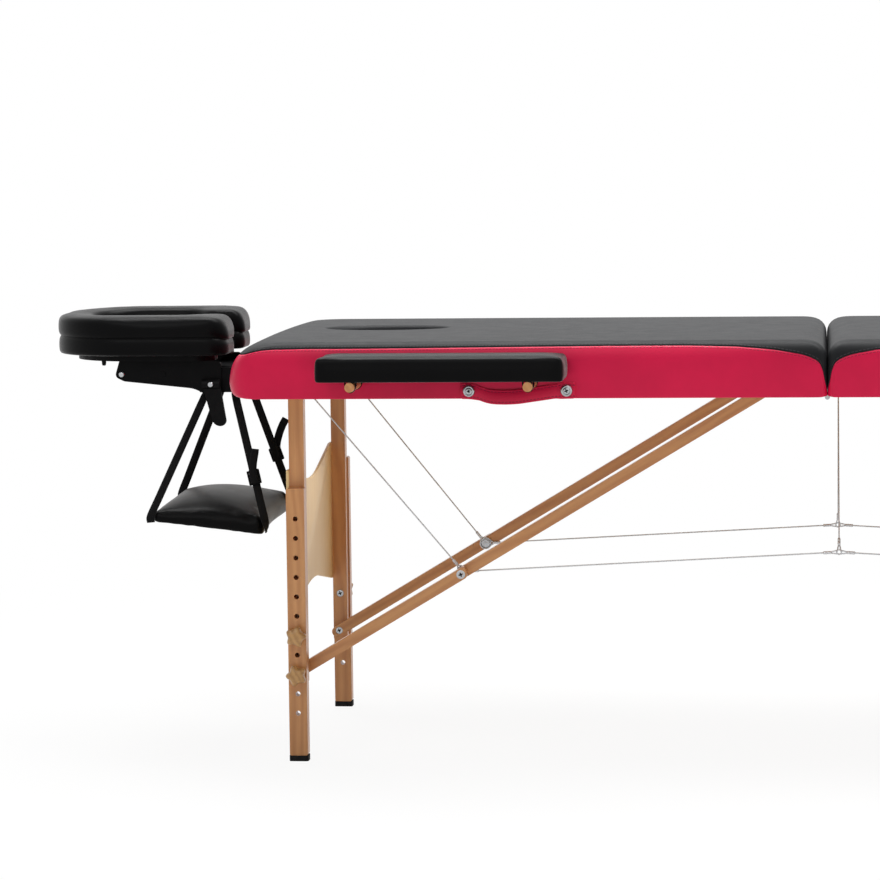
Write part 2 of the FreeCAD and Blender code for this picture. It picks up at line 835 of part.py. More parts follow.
def cables():
    """Stay cables to the knees, span cables along the table and the centre drop."""
    seat = S.nut_radius + S.lap_gap
    knee = Vector(-S.knee_x, S.cable_y, S.knee_z)
    leg_nut = Vector(-S.leg_x, S.leg_inner_y - S.nut_height / 2, S.pivot_z)
    both_halves("stay_cables", both_sides("stays", cable("stay", leg_nut, knee, (seat, seat))))
    middle = Vector(S.cable_centre_x, S.cable_y, S.cable_centre_z)
    meeting = S.cable_radius + S.lap_gap
    node("head_span_cables", both_sides("head_spans", cable("head_span", knee, middle, (seat, meeting))))
    foot_knee = Vector(S.knee_x, S.cable_y, S.knee_z)
    node("foot_span_cables", both_sides("foot_spans", cable("foot_span", foot_knee, middle, (seat, meeting))))
    eye = Vector(S.cable_centre_x, S.nut_radius / 2, S.under_z - S.leaf_thickness)
    drop = cable("drop", eye, middle, (S.cable_radius, S.cable_radius + 2 * S.lap_gap))
    node("centre_cable", both_sides("drops", drop))


def pillow(name, x, y, z, corner, low_round, high_round, crown, pull):
    """A crowned pad whose sides draw in between its corners; x, y and z are (low, high) pairs."""
    along = crowned(x[0], x[1], z[0], z[1], low_round, high_round, crown)
    across = crowned(y[0], y[1], z[0], z[1], low_round, high_round, crown)
    mid_x = (x[0] + x[1]) / 2
    mid_y = (y[0] + y[1]) / 2
    plan = rounded(
        [
            (x[0], y[0], corner),
            (mid_x, y[0] + pull, (x[1] - x[0]) ** 2 / (16 * pull)),
            (x[1], y[0], corner),
            (x[1] - pull, mid_y, (y[1] - y[0]) ** 2 / (16 * pull)),
            (x[1], y[1], corner),
            (mid_x, y[1] - pull, (x[1] - x[0]) ** 2 / (16 * pull)),
            (x[0], y[1], corner),
            (x[0] + pull, mid_y, (y[1] - y[0]) ** 2 / (16 * pull)),
        ]
    )
    return common(
        name,
        slab(name + "_along", "XZ", [along], str(y[0]), str(y[1] - y[0])),
        slab(name + "_across", "YZ", [across], str(x[0]), str(x[1] - x[0])),
        slab(name + "_plan", "XY", [plan], str(z[0]), str(z[1] - z[0])),
    )


def armrests():
    """Padded armrests on dowels that push into the side rails."""
    x = (-S.armrest_x - S.armrest_length / 2, -S.armrest_x + S.armrest_length / 2)
    y = (S.pad_inner_y, S.pad_inner_y + S.armrest_width)
    low = S.dowel_z + S.dowel_radius
    far = pillow("armrest_pad", x, y, (low, low + S.armrest_height), S.armrest_round, S.armrest_round / 2,
                 S.armrest_round, S.armrest_crown, S.armrest_crown / 2)
    dowels = []
    long = "pad_inner_y + armrest_width - dowel_outer_margin - dowel_inner_y"
    for spread in ("-dowel_spread", "dowel_spread"):
        dowels.append(
            rod("dowel", "Y", "dowel_radius", long, f"-armrest_x + {spread}", "dowel_inner_y", "dowel_z")
        )
    far_dowels = group("far_dowels", *dowels)
    node("far_armrest_pad", far)
    node("near_armrest_pad", mirrored("near_pad", far, ACROSS))
    node("far_armrest_dowels", far_dowels)
    node("near_armrest_dowels", mirrored("near_dowels", far_dowels, ACROSS))


def cradle_base():
    """The wooden cross block with its two rods."""
    block = box("base_block", ("-base_x", "base_length"), ("-base_half_width", "2 * base_half_width"),
                ("base_z", "base_height"))
    rods = []
    for side in ("-rod_y", "rod_y"):
        rods.append(
            rod("cradle_rod", "X", "rod_radius", "rod_grip + base_gap + rod_depth",
                "-half_length - base_gap - rod_grip", side, "rod_z")
        )
    bore = rod("tilt_bore", "Y", "bolt_hole", "rod_grip", "-tilt_x", "plate_y - rod_grip / 2", "tilt_z")
    bored = cut("bored_base", block, both_sides("tilt_bores", bore), *rods)
    node("headrest_base", group("base_and_rods", bored, *rods))


def cradle_plates():
    """Side plates with a curved lower edge, pinned to the base and riveted to the platform rails."""
    boss = S.plate_boss
    nose_x = -S.tilt_x - S.cradle_plate_reach
    nose_z = S.platform_z - S.cradle_plate_nose
    outline = rounded(
        [
            (-S.tilt_x + boss, S.tilt_z - boss, boss),
            (-S.tilt_x + boss, S.platform_z, boss / 2),
            (nose_x + boss / 2, S.platform_z, S.corner_round),
            (nose_x, nose_z, boss / 2),
            (nose_x + boss, nose_z - boss / 2, boss),
            (-S.tilt_x - 2 * boss, S.tilt_z - boss / 2, 4 * boss),
            (-S.tilt_x - boss, S.tilt_z - boss, boss),
        ]
    )
    plate = slab("cradle_plate", "XZ", [outline], "plate_y", "cradle_plate_thickness")
    rivets = []
    outer = "-tilt_x - cradle_plate_reach + 2 * rivet_radius + corner_round"
    for x in (outer, "-tilt_x - cradle_plate_reach / 2"):
        rivets.append(
            rod("rivet", "Y", "rivet_radius", "cradle_plate_thickness + rivet_radius / 2", x, "plate_y",
                "platform_z - cradle_plate_nose + rivet_radius")
        )
    tilt_pin = rod("tilt_pin", "Y", "bolt_radius", "rod_grip / 2", "-tilt_x", "plate_y - rod_grip / 2",
                   "tilt_z")
    node("cradle_plates", both_sides("cradle_plate_pair", fused("riveted_plate", plate, tilt_pin, *rivets)))


def cradle_plan(inset, setback, nose, band):
    """The horseshoe seen from above, inset from the cushion's edge; it opens towards the table."""
    far = -S.cushion_far_x + nose
    near = -S.cushion_near_x - setback
    half = S.cushion_width / 2 - inset
    slot = S.face_slot_width / 2 + inset
    hole = S.face_opening_width / 2 + inset
    hole_far = far + band
    hole_near = -S.cushion_near_x - S.cushion_arm_round - S.cushion_round
    return rounded(
        [
            (far, -half, S.cushion_nose_round),
            (near, -half, S.cushion_arm_round),
            (near, -slot, S.cushion_round),
            (hole_near, -slot, S.cushion_round),
            (hole_near - (hole - slot), -hole, S.cushion_round),
            (hole_far, -hole, hole),
            (hole_far, hole, hole),
            (hole_near - (hole - slot), hole, S.cushion_round),
            (hole_near, slot, S.cushion_round),
            (near, slot, S.cushion_round),
            (near, half, S.cushion_arm_round),
            (far, half, S.cushion_nose_round),
        ]
    )


def cradle_top():
    """The platform and the horseshoe face cushion on it."""
    platform_plan = cradle_plan(S.platform_inset, S.platform_setback, S.platform_nose, S.platform_band)
    node("cradle_platform", slab("platform", "XY", [platform_plan], "platform_z", "platform_thickness"))
    half = S.cushion_width / 2
    low = S.cushion_z
    high = S.cushion_z + S.cushion_height
    along = rounded(
        [
            (-S.cushion_far_x, low, S.cushion_edge),
            (-S.cushion_near_x, low, S.cushion_edge),
            (-S.cushion_near_x, high, S.cushion_lip_round),
            (-S.cushion_far_x, high, S.cushion_edge),
        ]
    )
    across = rectangle(-half, half, low, high, S.cushion_edge)
    node(
        "face_cushion",
        common(
            "face_pad",
            slab("face_along", "XZ", [along], "-cushion_width / 2", "cushion_width"),
            slab("face_across", "YZ", [across], "-cushion_far_x", "cushion_length"),
            slab("face_plan", "XY", [cradle_plan(0, 0, 0, S.cushion_band)], "cushion_z", "cushion_height"),
        ),
    )


def cam_lever():
    """The clamp lever on the near side: a cam across the tilt bolt with a blade hanging from it."""
    half = S.lever_width / 2
    tip = S.tilt_z - S.lever_length
    outline = rounded(
        [
            (-S.tilt_x - half, S.tilt_z, S.corner_round),
            (-S.tilt_x + half, S.tilt_z, S.corner_round),
            (-S.tilt_x + half + S.lever_lean, tip, half),
            (-S.tilt_x - half / 2 + S.lever_lean, tip, half),
        ]
    )
    back = "-lever_y - cam_radius - lever_thickness / 2"
    blade = slab("lever_blade", "XZ", [outline], back, "lever_thickness")
    cam = rod("lever_cam", "X", "cam_radius", "lever_width", "-tilt_x - lever_width / 2",
              "-lever_y - cam_radius", "tilt_z")
    node("cam_lever", fused("lever", blade, cam))


def strap(name, top, bottom):
    """A flat strap that hangs from just under the base, its width across the line of sight along Y."""
    turn = Rotation(bottom - top, Vector(0, 1, 0), Vector(), "XYZ")
    half = Vector(0, S.strap_thickness / 2, S.strap_width / 2)
    corners = [turn.multVec(Vector(0, half.y, side * half.z)).z for side in (-1, 1)]
    hung = top - Vector(0, 0, S.lap_gap + max(abs(z) for z in corners))
    obj = doc.addObject("Part::Box", name)
    obj.Length = (bottom - hung).Length
    obj.setExpression("Width", bound("strap_thickness"))
    obj.setExpression("Height", bound("strap_width"))
    turn = Rotation(bottom - hung, Vector(0, 1, 0), Vector(), "XYZ")
    obj.Placement = Placement(hung - turn.multVec(half), turn)
    return obj, turn, hung


def sling():
    """The padded arm shelf hung from the cradle base on four straps, two of them with buckles."""
    x = (-S.sling_x - S.sling_length / 2, -S.sling_x + S.sling_length / 2)
    y = (-S.sling_width / 2, S.sling_width / 2)
    z = (S.sling_z - S.sling_thickness, S.sling_z)
    node("sling_pad", pillow("sling_shelf", x, y, z, S.sling_round, S.sling_round / 2, S.sling_round,
                             S.sling_crown, S.sling_pull))
    straps = []
    buckles = []
    base_back = -S.base_x + S.strap_width / 2
    base_front = base_back + S.strap_front
    edge_y = S.sling_width / 2 + S.strap_thickness / 2 + S.lap_gap
    for side, share in ((1, S.buckle_back_share), (-1, S.buckle_front_share)):
        for top_x, pad_x in ((base_back, x[0] + S.strap_margin), (base_front, x[1] - S.strap_margin)):
            top = Vector(top_x, side * S.strap_top_y, S.base_z)
            bottom = Vector(pad_x, side * edge_y, S.sling_z - S.sling_thickness / 2)
            band, turn, hung = strap("strap", top, bottom)
            straps.append(band)
            if top_x == base_front:
                middle = hung + (bottom - hung) * share
                lift = turn.multVec(Vector(0, side * (S.strap_thickness / 2 + S.buckle_thickness / 2), 0))
                buckle = doc.addObject("Part::Box", "buckle")
                buckle.setExpression("Length", bound("buckle_length"))
                buckle.setExpression("Width", bound("buckle_thickness"))
                buckle.setExpression("Height", bound("buckle_width"))
                corner = Vector(S.buckle_length / 2, S.buckle_thickness / 2, S.buckle_width / 2)
                buckle.Placement = Placement(middle + lift - turn.multVec(corner), turn)
                buckles.append(buckle)
    node("sling_straps", group("strap_set", *straps))
    node("sling_buckles", group("buckle_set", *buckles))


def finish():
    """Check every object, move the pieces to the common origin and write them."""
    doc.recompute()
    for obj in doc.Objects:
        if "Invalid" in obj.State or "Error" in obj.State:
            raise RuntimeError(f"{obj.Label} failed: {obj.State}")
    shift = Vector((S.cushion_far_x - S.half_length) / 2, 0, 0)
    os.makedirs("parts", exist_ok=True)
    for name, obj in nodes.items():
        shape = obj.Shape
        if shape.isNull() or not shape.isValid() or not shape.Solids:
            raise RuntimeError(f"{name} has no sound shape")
    for name, obj in nodes.items():
        obj.Shape.translated(shift).exportStep(f"parts/{name}.step")
    print(len(nodes), "nodes, moved", shift.x)


upholstery()
deck()
frames()
hardware()
handles()
legs()
extensions()
knobs()
struts()
cables()
armrests()
cradle_base()
cradle_plates()
cradle_top()
cam_lever()
sling()
finish()
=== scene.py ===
"""Looks of a folding massage table: padded vinyl, lacquered beech, steel cable and black fittings.

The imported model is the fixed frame, in metres. Sizes here are millimetres from the fold line, as the part
was drawn: the head half lies towards -X and the near long side towards -Y.
"""

import json
import logging
import math
from dataclasses import dataclass
from enum import Enum
from typing import Callable, Dict, Iterable, List, Optional, Sequence, Tuple

import bmesh
import bpy
import numpy as np
from mathutils import Matrix, Vector, geometry, noise

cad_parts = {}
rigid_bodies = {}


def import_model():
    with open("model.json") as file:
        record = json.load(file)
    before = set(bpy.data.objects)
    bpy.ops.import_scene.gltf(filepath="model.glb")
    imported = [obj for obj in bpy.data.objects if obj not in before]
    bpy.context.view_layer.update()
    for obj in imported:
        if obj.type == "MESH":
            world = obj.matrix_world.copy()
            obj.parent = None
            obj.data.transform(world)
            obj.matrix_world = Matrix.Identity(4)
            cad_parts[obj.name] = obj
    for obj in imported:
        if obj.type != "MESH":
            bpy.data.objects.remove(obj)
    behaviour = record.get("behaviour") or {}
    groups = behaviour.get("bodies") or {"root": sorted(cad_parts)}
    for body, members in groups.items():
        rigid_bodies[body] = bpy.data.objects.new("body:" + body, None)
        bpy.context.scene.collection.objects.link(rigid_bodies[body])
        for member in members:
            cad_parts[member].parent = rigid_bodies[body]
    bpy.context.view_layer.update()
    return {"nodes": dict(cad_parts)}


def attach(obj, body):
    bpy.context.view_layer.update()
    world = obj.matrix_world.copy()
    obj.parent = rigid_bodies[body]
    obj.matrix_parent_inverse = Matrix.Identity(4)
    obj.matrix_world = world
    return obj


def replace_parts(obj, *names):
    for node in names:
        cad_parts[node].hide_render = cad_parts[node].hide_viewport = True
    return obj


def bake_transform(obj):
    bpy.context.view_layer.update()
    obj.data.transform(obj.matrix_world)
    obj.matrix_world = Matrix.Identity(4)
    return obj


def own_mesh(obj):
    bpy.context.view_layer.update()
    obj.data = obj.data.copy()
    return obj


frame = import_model()

LOG = logging.getLogger("massage_table")
# Where the fold line lies along the frame's X, in millimetres.
ORIGIN_SHIFT = 166.5
# Places that several sub-assemblies share, in millimetres from the fold line and the floor.
LEG_X = 835.0
KNEE_X = 578.1
KNEE_Z = 293.2

Pair = Tuple[float, float]
Point = Tuple[float, float, float]
Colour = Tuple[float, float, float, float]
# A place on an outline, then the direction outwards there.
Edge = Tuple[float, float, float, float]
Piece = bpy.types.Object
Socket = bpy.types.NodeSocket


class Named(Enum):
    """A choice that takes part in the names of nodes and bodies."""

    @property
    def prefix(self) -> str:
        """The choice as node and body names spell it."""
        return self.name.lower()


class Half(Named):
    """One half of the table, with its direction from the fold line."""

    HEAD = -1
    FOOT = 1


class Side(Named):
    """One long side of the table."""

    NEAR = -1
    FAR = 1


class Level(Named):
    """A clamping knob's place on its leg, with its height in millimetres."""

    LOWER = 139.0
    UPPER = 201.0


class Grain(Named):
    """The direction that the wood grain of a piece runs in."""

    ALONG = "x"
    ACROSS = "y"
    UPRIGHT = "z"
    RISING = "rising"
    FALLING = "falling"
    RAILS = "rails"


class Effect(Enum):
    """A shader effect that several finishes share, with its node group's name."""

    HIDE = "hide"
    GRAIN = "grain"
    WEAVE = "weave"
    HANDLING = "handling"


def at(x: float, y: float, z: float) -> Vector:
    """Fold-line millimetres as a point of the frame, in metres."""
    return Vector(((x + ORIGIN_SHIFT) / 1000, y / 1000, z / 1000))


def srgb(red: int, green: int, blue: int) -> Colour:
    """An 8-bit display colour as a linear one.

    Args:
        red: Its red level.
        green: Its green level.
        blue: Its blue level.

    Returns:
        Its red, green and blue shares, and full alpha.
    """

    def linear(level: int) -> float:
        """One channel as a linear share."""
        share = level / 255
        return share / 12.92 if share <= 0.04045 else ((share + 0.055) / 1.055) ** 2.4

    return (linear(red), linear(green), linear(blue), 1.0)


def shaded(colour: Colour, factor: float, lift: float = 0.0) -> Colour:
    """A colour made darker or lighter, up to white."""
    return tuple(min(1.0, c * factor + lift) for c in colour[:3]) + (1.0,)


def ease(value: float) -> float:
    """A smooth step from 0 to 1."""
    share = min(1.0, max(0.0, value))
    return share * share * (3 - 2 * share)


def add_object(name: str, points: Iterable[Vector], faces: Sequence[Sequence[int]]) -> Piece:
    """Make a mesh object from points and faces.

    Args:
        name: The piece's name.
        points: Its corners in the frame, in metres.
        faces: Corner numbers of each face.

    Returns:
        The linked object.
    """
    mesh = bpy.data.meshes.new(name)
    mesh.from_pydata([tuple(p) for p in points], [], [tuple(f) for f in faces])
    mesh.validate()
    mesh.update()
    obj = bpy.data.objects.new(name, mesh)
    bpy.context.scene.collection.objects.link(obj)
    return obj


def soften(obj: Piece, sharp_angle: float = 40) -> Piece:
    """Shade a piece smooth, keeping its sharp edges.

    Args:
        obj: The piece.
        sharp_angle: Edges that turn by more degrees stay sharp.

    Returns:
        The same piece.
    """
    obj.data.shade_smooth()
    obj.data.set_sharp_from_angle(angle=math.radians(sharp_angle))
    return obj


def paint(obj: Piece, *materials: bpy.types.Material) -> Piece:
    """Give a piece its materials, in slot order.

    Args:
        obj: The piece.
        materials: Its materials.

    Returns:
        The same piece.
    """
    obj.data.materials.clear()
    for material in materials:
        obj.data.materials.append(material)
    return obj


def outward(obj: Piece) -> Piece:
    """Turn all faces of a closed piece outwards.

    Args:
        obj: The piece.

    Returns:
        The same piece.
    """
    mesh = bmesh.new()
    mesh.from_mesh(obj.data)
    bmesh.ops.recalc_face_normals(mesh, faces=mesh.faces)
    mesh.to_mesh(obj.data)
    mesh.free()
    return obj


def bevelled(obj: Piece, width: float, segments: int) -> Piece:
    """Round the edges of a piece.

    Args:
        obj: The piece.
        width: The rounding's width in millimetres.
        segments: Steps across it.

    Returns:
        The same piece.
    """
    modifier = obj.modifiers.new("edges", "BEVEL")
    modifier.width = width / 1000
    modifier.segments = segments
    modifier.limit_method = "ANGLE"
    modifier.angle_limit = math.radians(35)
    return obj


def settle(obj: Piece) -> Piece:
    """Replace a piece's mesh by what its modifiers make of it.

    Args:
        obj: The piece.

    Returns:
        The same piece.
    """
    graph = bpy.context.evaluated_depsgraph_get()
    made = bpy.data.meshes.new_from_object(obj.evaluated_get(graph))
    obj.modifiers.clear()
    old = obj.data
    obj.data = made
    made.name = obj.name
    bpy.data.meshes.remove(old)
    return obj


class Tree:
    """A node tree with short calls for adding and joining nodes."""

    def __init__(self, tree: bpy.types.NodeTree) -> None:
        """Keep the tree that the calls add to."""
        self.tree = tree

    def feed(self, node: bpy.types.Node, inputs: Dict) -> None:
        """Set a node's inputs, or join them to sockets of other nodes.

        Args:
            node: The node that is fed.
            inputs: Values or sockets by input name or number.
        """
        for key, value in inputs.items():
            if isinstance(value, Socket):
                self.tree.links.new(value, node.inputs[key])
            else:
                node.inputs[key].default_value = value

    def add(self, kind: str, inputs: Optional[Dict] = None, **settings: object) -> bpy.types.Node:
        """Add a node.

        Args:
            kind: The node's type without its ShaderNode prefix.
            inputs: Values or sockets by input name or number.
            settings: Properties of the node itself.

        Returns:
            The new node.
        """
        node = self.tree.nodes.new("ShaderNode" + kind)
        for name, value in settings.items():
            setattr(node, name, value)
        self.feed(node, inputs or {})
        return node

    def noise(self, vector: Socket, scale: object, detail: float, **others: float) -> bpy.types.Node:
        """A noise texture, with any other inputs by name."""
        return self.add("TexNoise", {"Vector": vector, "Scale": scale, "Detail": detail, **others})

    def maths(self, operation: str, *values: object) -> Socket:
        """The result of a Math node on numbers or sockets."""
        return self.add("Math", dict(enumerate(values)), operation=operation).outputs[0]

    def vector(self, operation: str, *values: object) -> Socket:
        """The result of a Vector Math node on vectors or sockets."""
        return self.add("VectorMath", dict(enumerate(values)), operation=operation).outputs[0]

    def mix(self, factor: object, first: object, second: object, kind: str = "RGBA") -> Socket:
        """A blend of two colours or two vectors.

        Args:
            factor: The second one's share.
            first: The first value or socket.
            second: The second value or socket.
            kind: RGBA for colours, VECTOR for vectors.

        Returns:
            The blend.
        """
        node = self.add("Mix", {"Factor": factor}, data_type=kind)
        places = {socket.name: i for i, socket in enumerate(node.inputs) if socket.type == kind}
        self.feed(node, {places["A"]: first, places["B"]: second})
        return [socket for socket in node.outputs if socket.type == kind][0]

    def spread(self, value: object, low: float, high: float, start: float = 0, end: float = 1) -> Socket:
        """A value moved from one range to another, held at its ends."""
        inputs = {"Value": value, "From Min": start, "From Max": end, "To Min": low, "To Max": high}
        return self.add("MapRange", inputs).outputs[0]


Group = Tuple[Tree, bpy.types.Node, bpy.types.Node]


def new_group(effect: Effect, inputs: Dict[str, Tuple[str, object]], outputs: Dict[str, str]) -> Group:
    """Start a shader node group.

    Args:
        effect: The effect that the group makes.
        inputs: Socket type and starting value by input name.
        outputs: Socket type by output name.

    Returns:
        The group's calls, and its input and output nodes.
    """
    group = bpy.data.node_groups.new(effect.value, "ShaderNodeTree")
    for title, (kind, value) in inputs.items():
        socket = group.interface.new_socket(title, in_out="INPUT", socket_type="NodeSocket" + kind)
        if value is not None:
            socket.default_value = value
    for title, kind in outputs.items():
        group.interface.new_socket(title, in_out="OUTPUT", socket_type="NodeSocket" + kind)
    return Tree(group), group.nodes.new("NodeGroupInput"), group.nodes.new("NodeGroupOutput")


class Effects:
    """Shader node groups that several finishes share, each built once."""

    made: Dict[Effect, bpy.types.NodeTree] = {}

    @classmethod
    def get(cls, effect: Effect) -> bpy.types.NodeTree:
        """The group of an effect, built on first use.

        Args:
            effect: The effect.

        Returns:
            Its node group.
        """
        builders = {
            Effect.HIDE: cls.hide,
            Effect.GRAIN: cls.grain,
            Effect.WEAVE: cls.weave,
            Effect.HANDLING: cls.handling,
        }
        if effect not in cls.made:
            cls.made[effect] = builders[effect]()
        return cls.made[effect]

    @staticmethod
    def hide() -> bpy.types.NodeTree:
        """Pebbled vinyl grain, with slow changes of tone and gloss.

        Returns:
            The node group.
        """
        tree, given, out = new_group(
            Effect.HIDE,
            {"Vector": ("Vector", None), "Cells": ("Float", 620.0), "Wear": ("Float", 0.5)},
            {"Height": "Float", "Tone": "Float", "Gloss": "Float"},
        )
        where = given.outputs["Vector"]
        wobble = tree.noise(where, 160.0, 2.0)
        bent = tree.vector("MULTIPLY_ADD", wobble.outputs["Color"], (0.0015, 0.0015, 0.0015), where)
        sizes = {"Vector": bent, "Scale": given.outputs["Cells"]}
        cells = tree.add("TexVoronoi", sizes, feature="DISTANCE_TO_EDGE")
        pebble = tree.maths("SMOOTH_MIN", cells.outputs["Distance"], 0.28, 0.2)
        fine = tree.noise(where, 2400.0, 2.0)
        height = tree.maths("MULTIPLY_ADD", fine.outputs["Fac"], 0.18, tree.maths("MULTIPLY", pebble, 2.4))
        slow = tree.noise(where, 7.0, 4.0, Roughness=0.6)
        smear = tree.noise(where, 38.0, 3.0)
        gloss = tree.maths("MULTIPLY", smear.outputs["Fac"], given.outputs["Wear"])
        tree.feed(out, {"Height": height, "Tone": slow.outputs["Fac"], "Gloss": gloss})
        return tree.tree

    @staticmethod
    def grain() -> bpy.types.NodeTree:
        """Beech grain that runs along the vector's X: growth bands, streaks and short flecks.

        Returns:
            The node group.
        """
        tree, given, out = new_group(
            Effect.GRAIN,
            {
                "Vector": ("Vector", None),
                "Light": ("Color", (0.8, 0.6, 0.4, 1)),
                "Dark": ("Color", (0.4, 0.25, 0.12, 1)),
                "Fleck": ("Float", 0.35),
            },
            {"Colour": "Color", "Height": "Float", "Gloss": "Float"},
        )
        where = given.outputs["Vector"]
        sway = tree.noise(tree.vector("MULTIPLY", where, (3.0, 9.0, 9.0)), 1.0, 2.0)
        bent = tree.vector("MULTIPLY_ADD", sway.outputs["Color"], (0.0, 0.03, 0.03), where)
        growth = {
            "Vector": tree.vector("MULTIPLY", bent, (1.5, 60.0, 38.0)),
            "Scale": 1.0,
            "Distortion": 3.0,
            "Detail": 2.0,
            "Detail Scale": 1.2,
        }
        bands = tree.add("TexWave", growth, bands_direction="DIAGONAL").outputs["Fac"]
        drawn = tree.vector("MULTIPLY", where, (9.0, 260.0, 260.0))
        streak = tree.noise(drawn, 1.0, 3.0, Roughness=0.6).outputs["Fac"]
        fleck = tree.noise(tree.vector("MULTIPLY", where, (70.0, 700.0, 700.0)), 1.0, 1.0)
        flecks = tree.spread(fleck.outputs["Fac"], 0.0, 1.0, 0.62, 0.78)
        shade = tree.maths("MULTIPLY_ADD", bands, 0.45, tree.maths("MULTIPLY", streak, 0.62))
        depth = tree.spread(shade, 0.0, 1.0, 0.25, 0.95)
        ground = tree.mix(depth, given.outputs["Light"], given.outputs["Dark"])
        marked = tree.maths("MULTIPLY", flecks, given.outputs["Fleck"])
        colour = tree.mix(marked, ground, given.outputs["Dark"])
        tree.feed(out, {"Colour": colour, "Height": bands, "Gloss": streak})
        return tree.tree

    @staticmethod
    def weave() -> bpy.types.NodeTree:
        """Two sets of crossing threads over a UV map in metres.

        Returns:
            The node group.
        """
        tree, given, out = new_group(
            Effect.WEAVE, {"Vector": ("Vector", None), "Threads": ("Float", 900.0)}, {"Height": "Float"}
        )
        turn = tree.maths("MULTIPLY", given.outputs["Threads"], math.pi)
        part = tree.add("SeparateXYZ", {0: given.outputs["Vector"]})
        across = tree.maths("SINE", tree.maths("MULTIPLY", part.outputs["X"], turn))
        along = tree.maths("SINE", tree.maths("MULTIPLY", part.outputs["Y"], turn))
        tree.feed(out, {"Height": tree.maths("ABSOLUTE", tree.maths("MULTIPLY", across, along))})
        return tree.tree

    @staticmethod
    def handling() -> bpy.types.NodeTree:
        """Dust, scuffs and finger marks: a slow mask and a fine one.

        Returns:
            The node group.
        """
        tree, given, out = new_group(
            Effect.HANDLING,
            {"Vector": ("Vector", None), "Scale": ("Float", 30.0)},
            {"Scuff": "Float", "Dust": "Float", "Height": "Float"},
        )
        where = given.outputs["Vector"]
        slow = tree.noise(where, given.outputs["Scale"], 5.0, Roughness=0.65).outputs["Fac"]
        fine = tree.noise(where, 900.0, 2.0).outputs["Fac"]
        dust = tree.maths("MULTIPLY", tree.spread(slow, 0.0, 1.0, 0.45, 0.8), fine)
        tree.feed(out, {"Scuff": tree.spread(slow, 0.0, 1.0, 0.35, 0.7), "Dust": dust, "Height": fine})
        return tree.tree


@dataclass(frozen=True)
class Finish:
    """What every finish has: a name, a colour and a roughness."""

    name: str
    colour: Colour
    roughness: float

    def start(self) -> Tuple[bpy.types.Material, Tree, bpy.types.Node, Socket]:
        """Make an empty material.

        Returns:
            The material, its tree, its shader and the place on the piece.
        """
        material = bpy.data.materials.new(self.name)
        material.use_nodes = True
        material.node_tree.nodes.clear()
        tree = Tree(material.node_tree)
        shader = tree.add("BsdfPrincipled")
        tree.add("OutputMaterial", {"Surface": shader.outputs[0]})
        place = tree.add("TexCoord").outputs["Object"]
        return material, tree, shader, place

    def material(self) -> bpy.types.Material:
        """Build the material."""
        raise NotImplementedError

    def group(self, tree: Tree, effect: Effect, inputs: Dict) -> bpy.types.Node:
        """Place a shared effect in this material."""
        return tree.add("Group", inputs, node_tree=Effects.get(effect))

    def relief(self, tree: Tree, height: Socket, depth: float, strength: float) -> Socket:
        """A bump of a given depth in millimetres."""
        return tree.add("Bump", {"Height": height, "Distance": depth / 1000, "Strength": strength}).outputs[0]


@dataclass(frozen=True)
class Vinyl(Finish):
    """Soft upholstery vinyl with a pebbled grain and, where wanted, a row of stitches by the seam."""

    coat: float = 0.06
    gloss: float = 0.26
    depth: float = 0.12
    sheen: float = 0.0
    stitched: bool = False
    thread: Colour = (0.05, 0.05, 0.055, 1)
    stitch_line: float = 0.0035
    stitch_pitch: float = 0.0055
    thread_half: float = 0.0004

    def stitches(self, tree: Tree) -> Socket:
        """A mask of the stitches, on a UV map in metres whose Y is zero at the seam.

        Args:
            tree: The material's tree.

        Returns:
            One on a stitch, zero beside it.
        """
        part = tree.add("SeparateXYZ", {0: tree.add("UVMap", uv_map="seam").outputs[0]})
        off = tree.maths("SUBTRACT", tree.maths("ABSOLUTE", part.outputs["Y"]), self.stitch_line)
        near = tree.spread(tree.maths("ABSOLUTE", off), 1.0, 0.0, self.thread_half, 2 * self.thread_half)
        beat = tree.maths("FRACT", tree.maths("DIVIDE", part.outputs["X"], self.stitch_pitch))
        dash = tree.spread(tree.maths("ABSOLUTE", tree.maths("SUBTRACT", beat, 0.5)), 1.0, 0.0, 0.3, 0.38)
        return tree.maths("MULTIPLY", near, dash)

    def material(self) -> bpy.types.Material:
        """Build the material.

        Returns:
            The material.
        """
        material, tree, shader, place = self.start()
        hide = self.group(tree, Effect.HIDE, {"Vector": place, "Wear": 0.5})
        dark, light = shaded(self.colour, 0.72), shaded(self.colour, 1.16, 0.002)
        colour = tree.mix(hide.outputs["Tone"], dark, light)
        height = hide.outputs["Height"]
        if self.stitched:
            stitch = self.stitches(tree)
            colour = tree.mix(stitch, colour, self.thread)
            height = tree.maths("MULTIPLY_ADD", stitch, 2.5, height)
        tree.feed(shader, {
            "Base Color": colour,
            "Roughness": tree.maths("MULTIPLY_ADD", hide.outputs["Gloss"], 0.22, self.roughness - 0.055),
            "Normal": self.relief(tree, height, self.depth, 0.55),
            "Coat Weight": self.coat,
            "Coat Roughness": 0.35,
            "Specular IOR Level": self.gloss,
            "Sheen Weight": self.sheen,
            "Sheen Roughness": 0.3,
        })
        return material


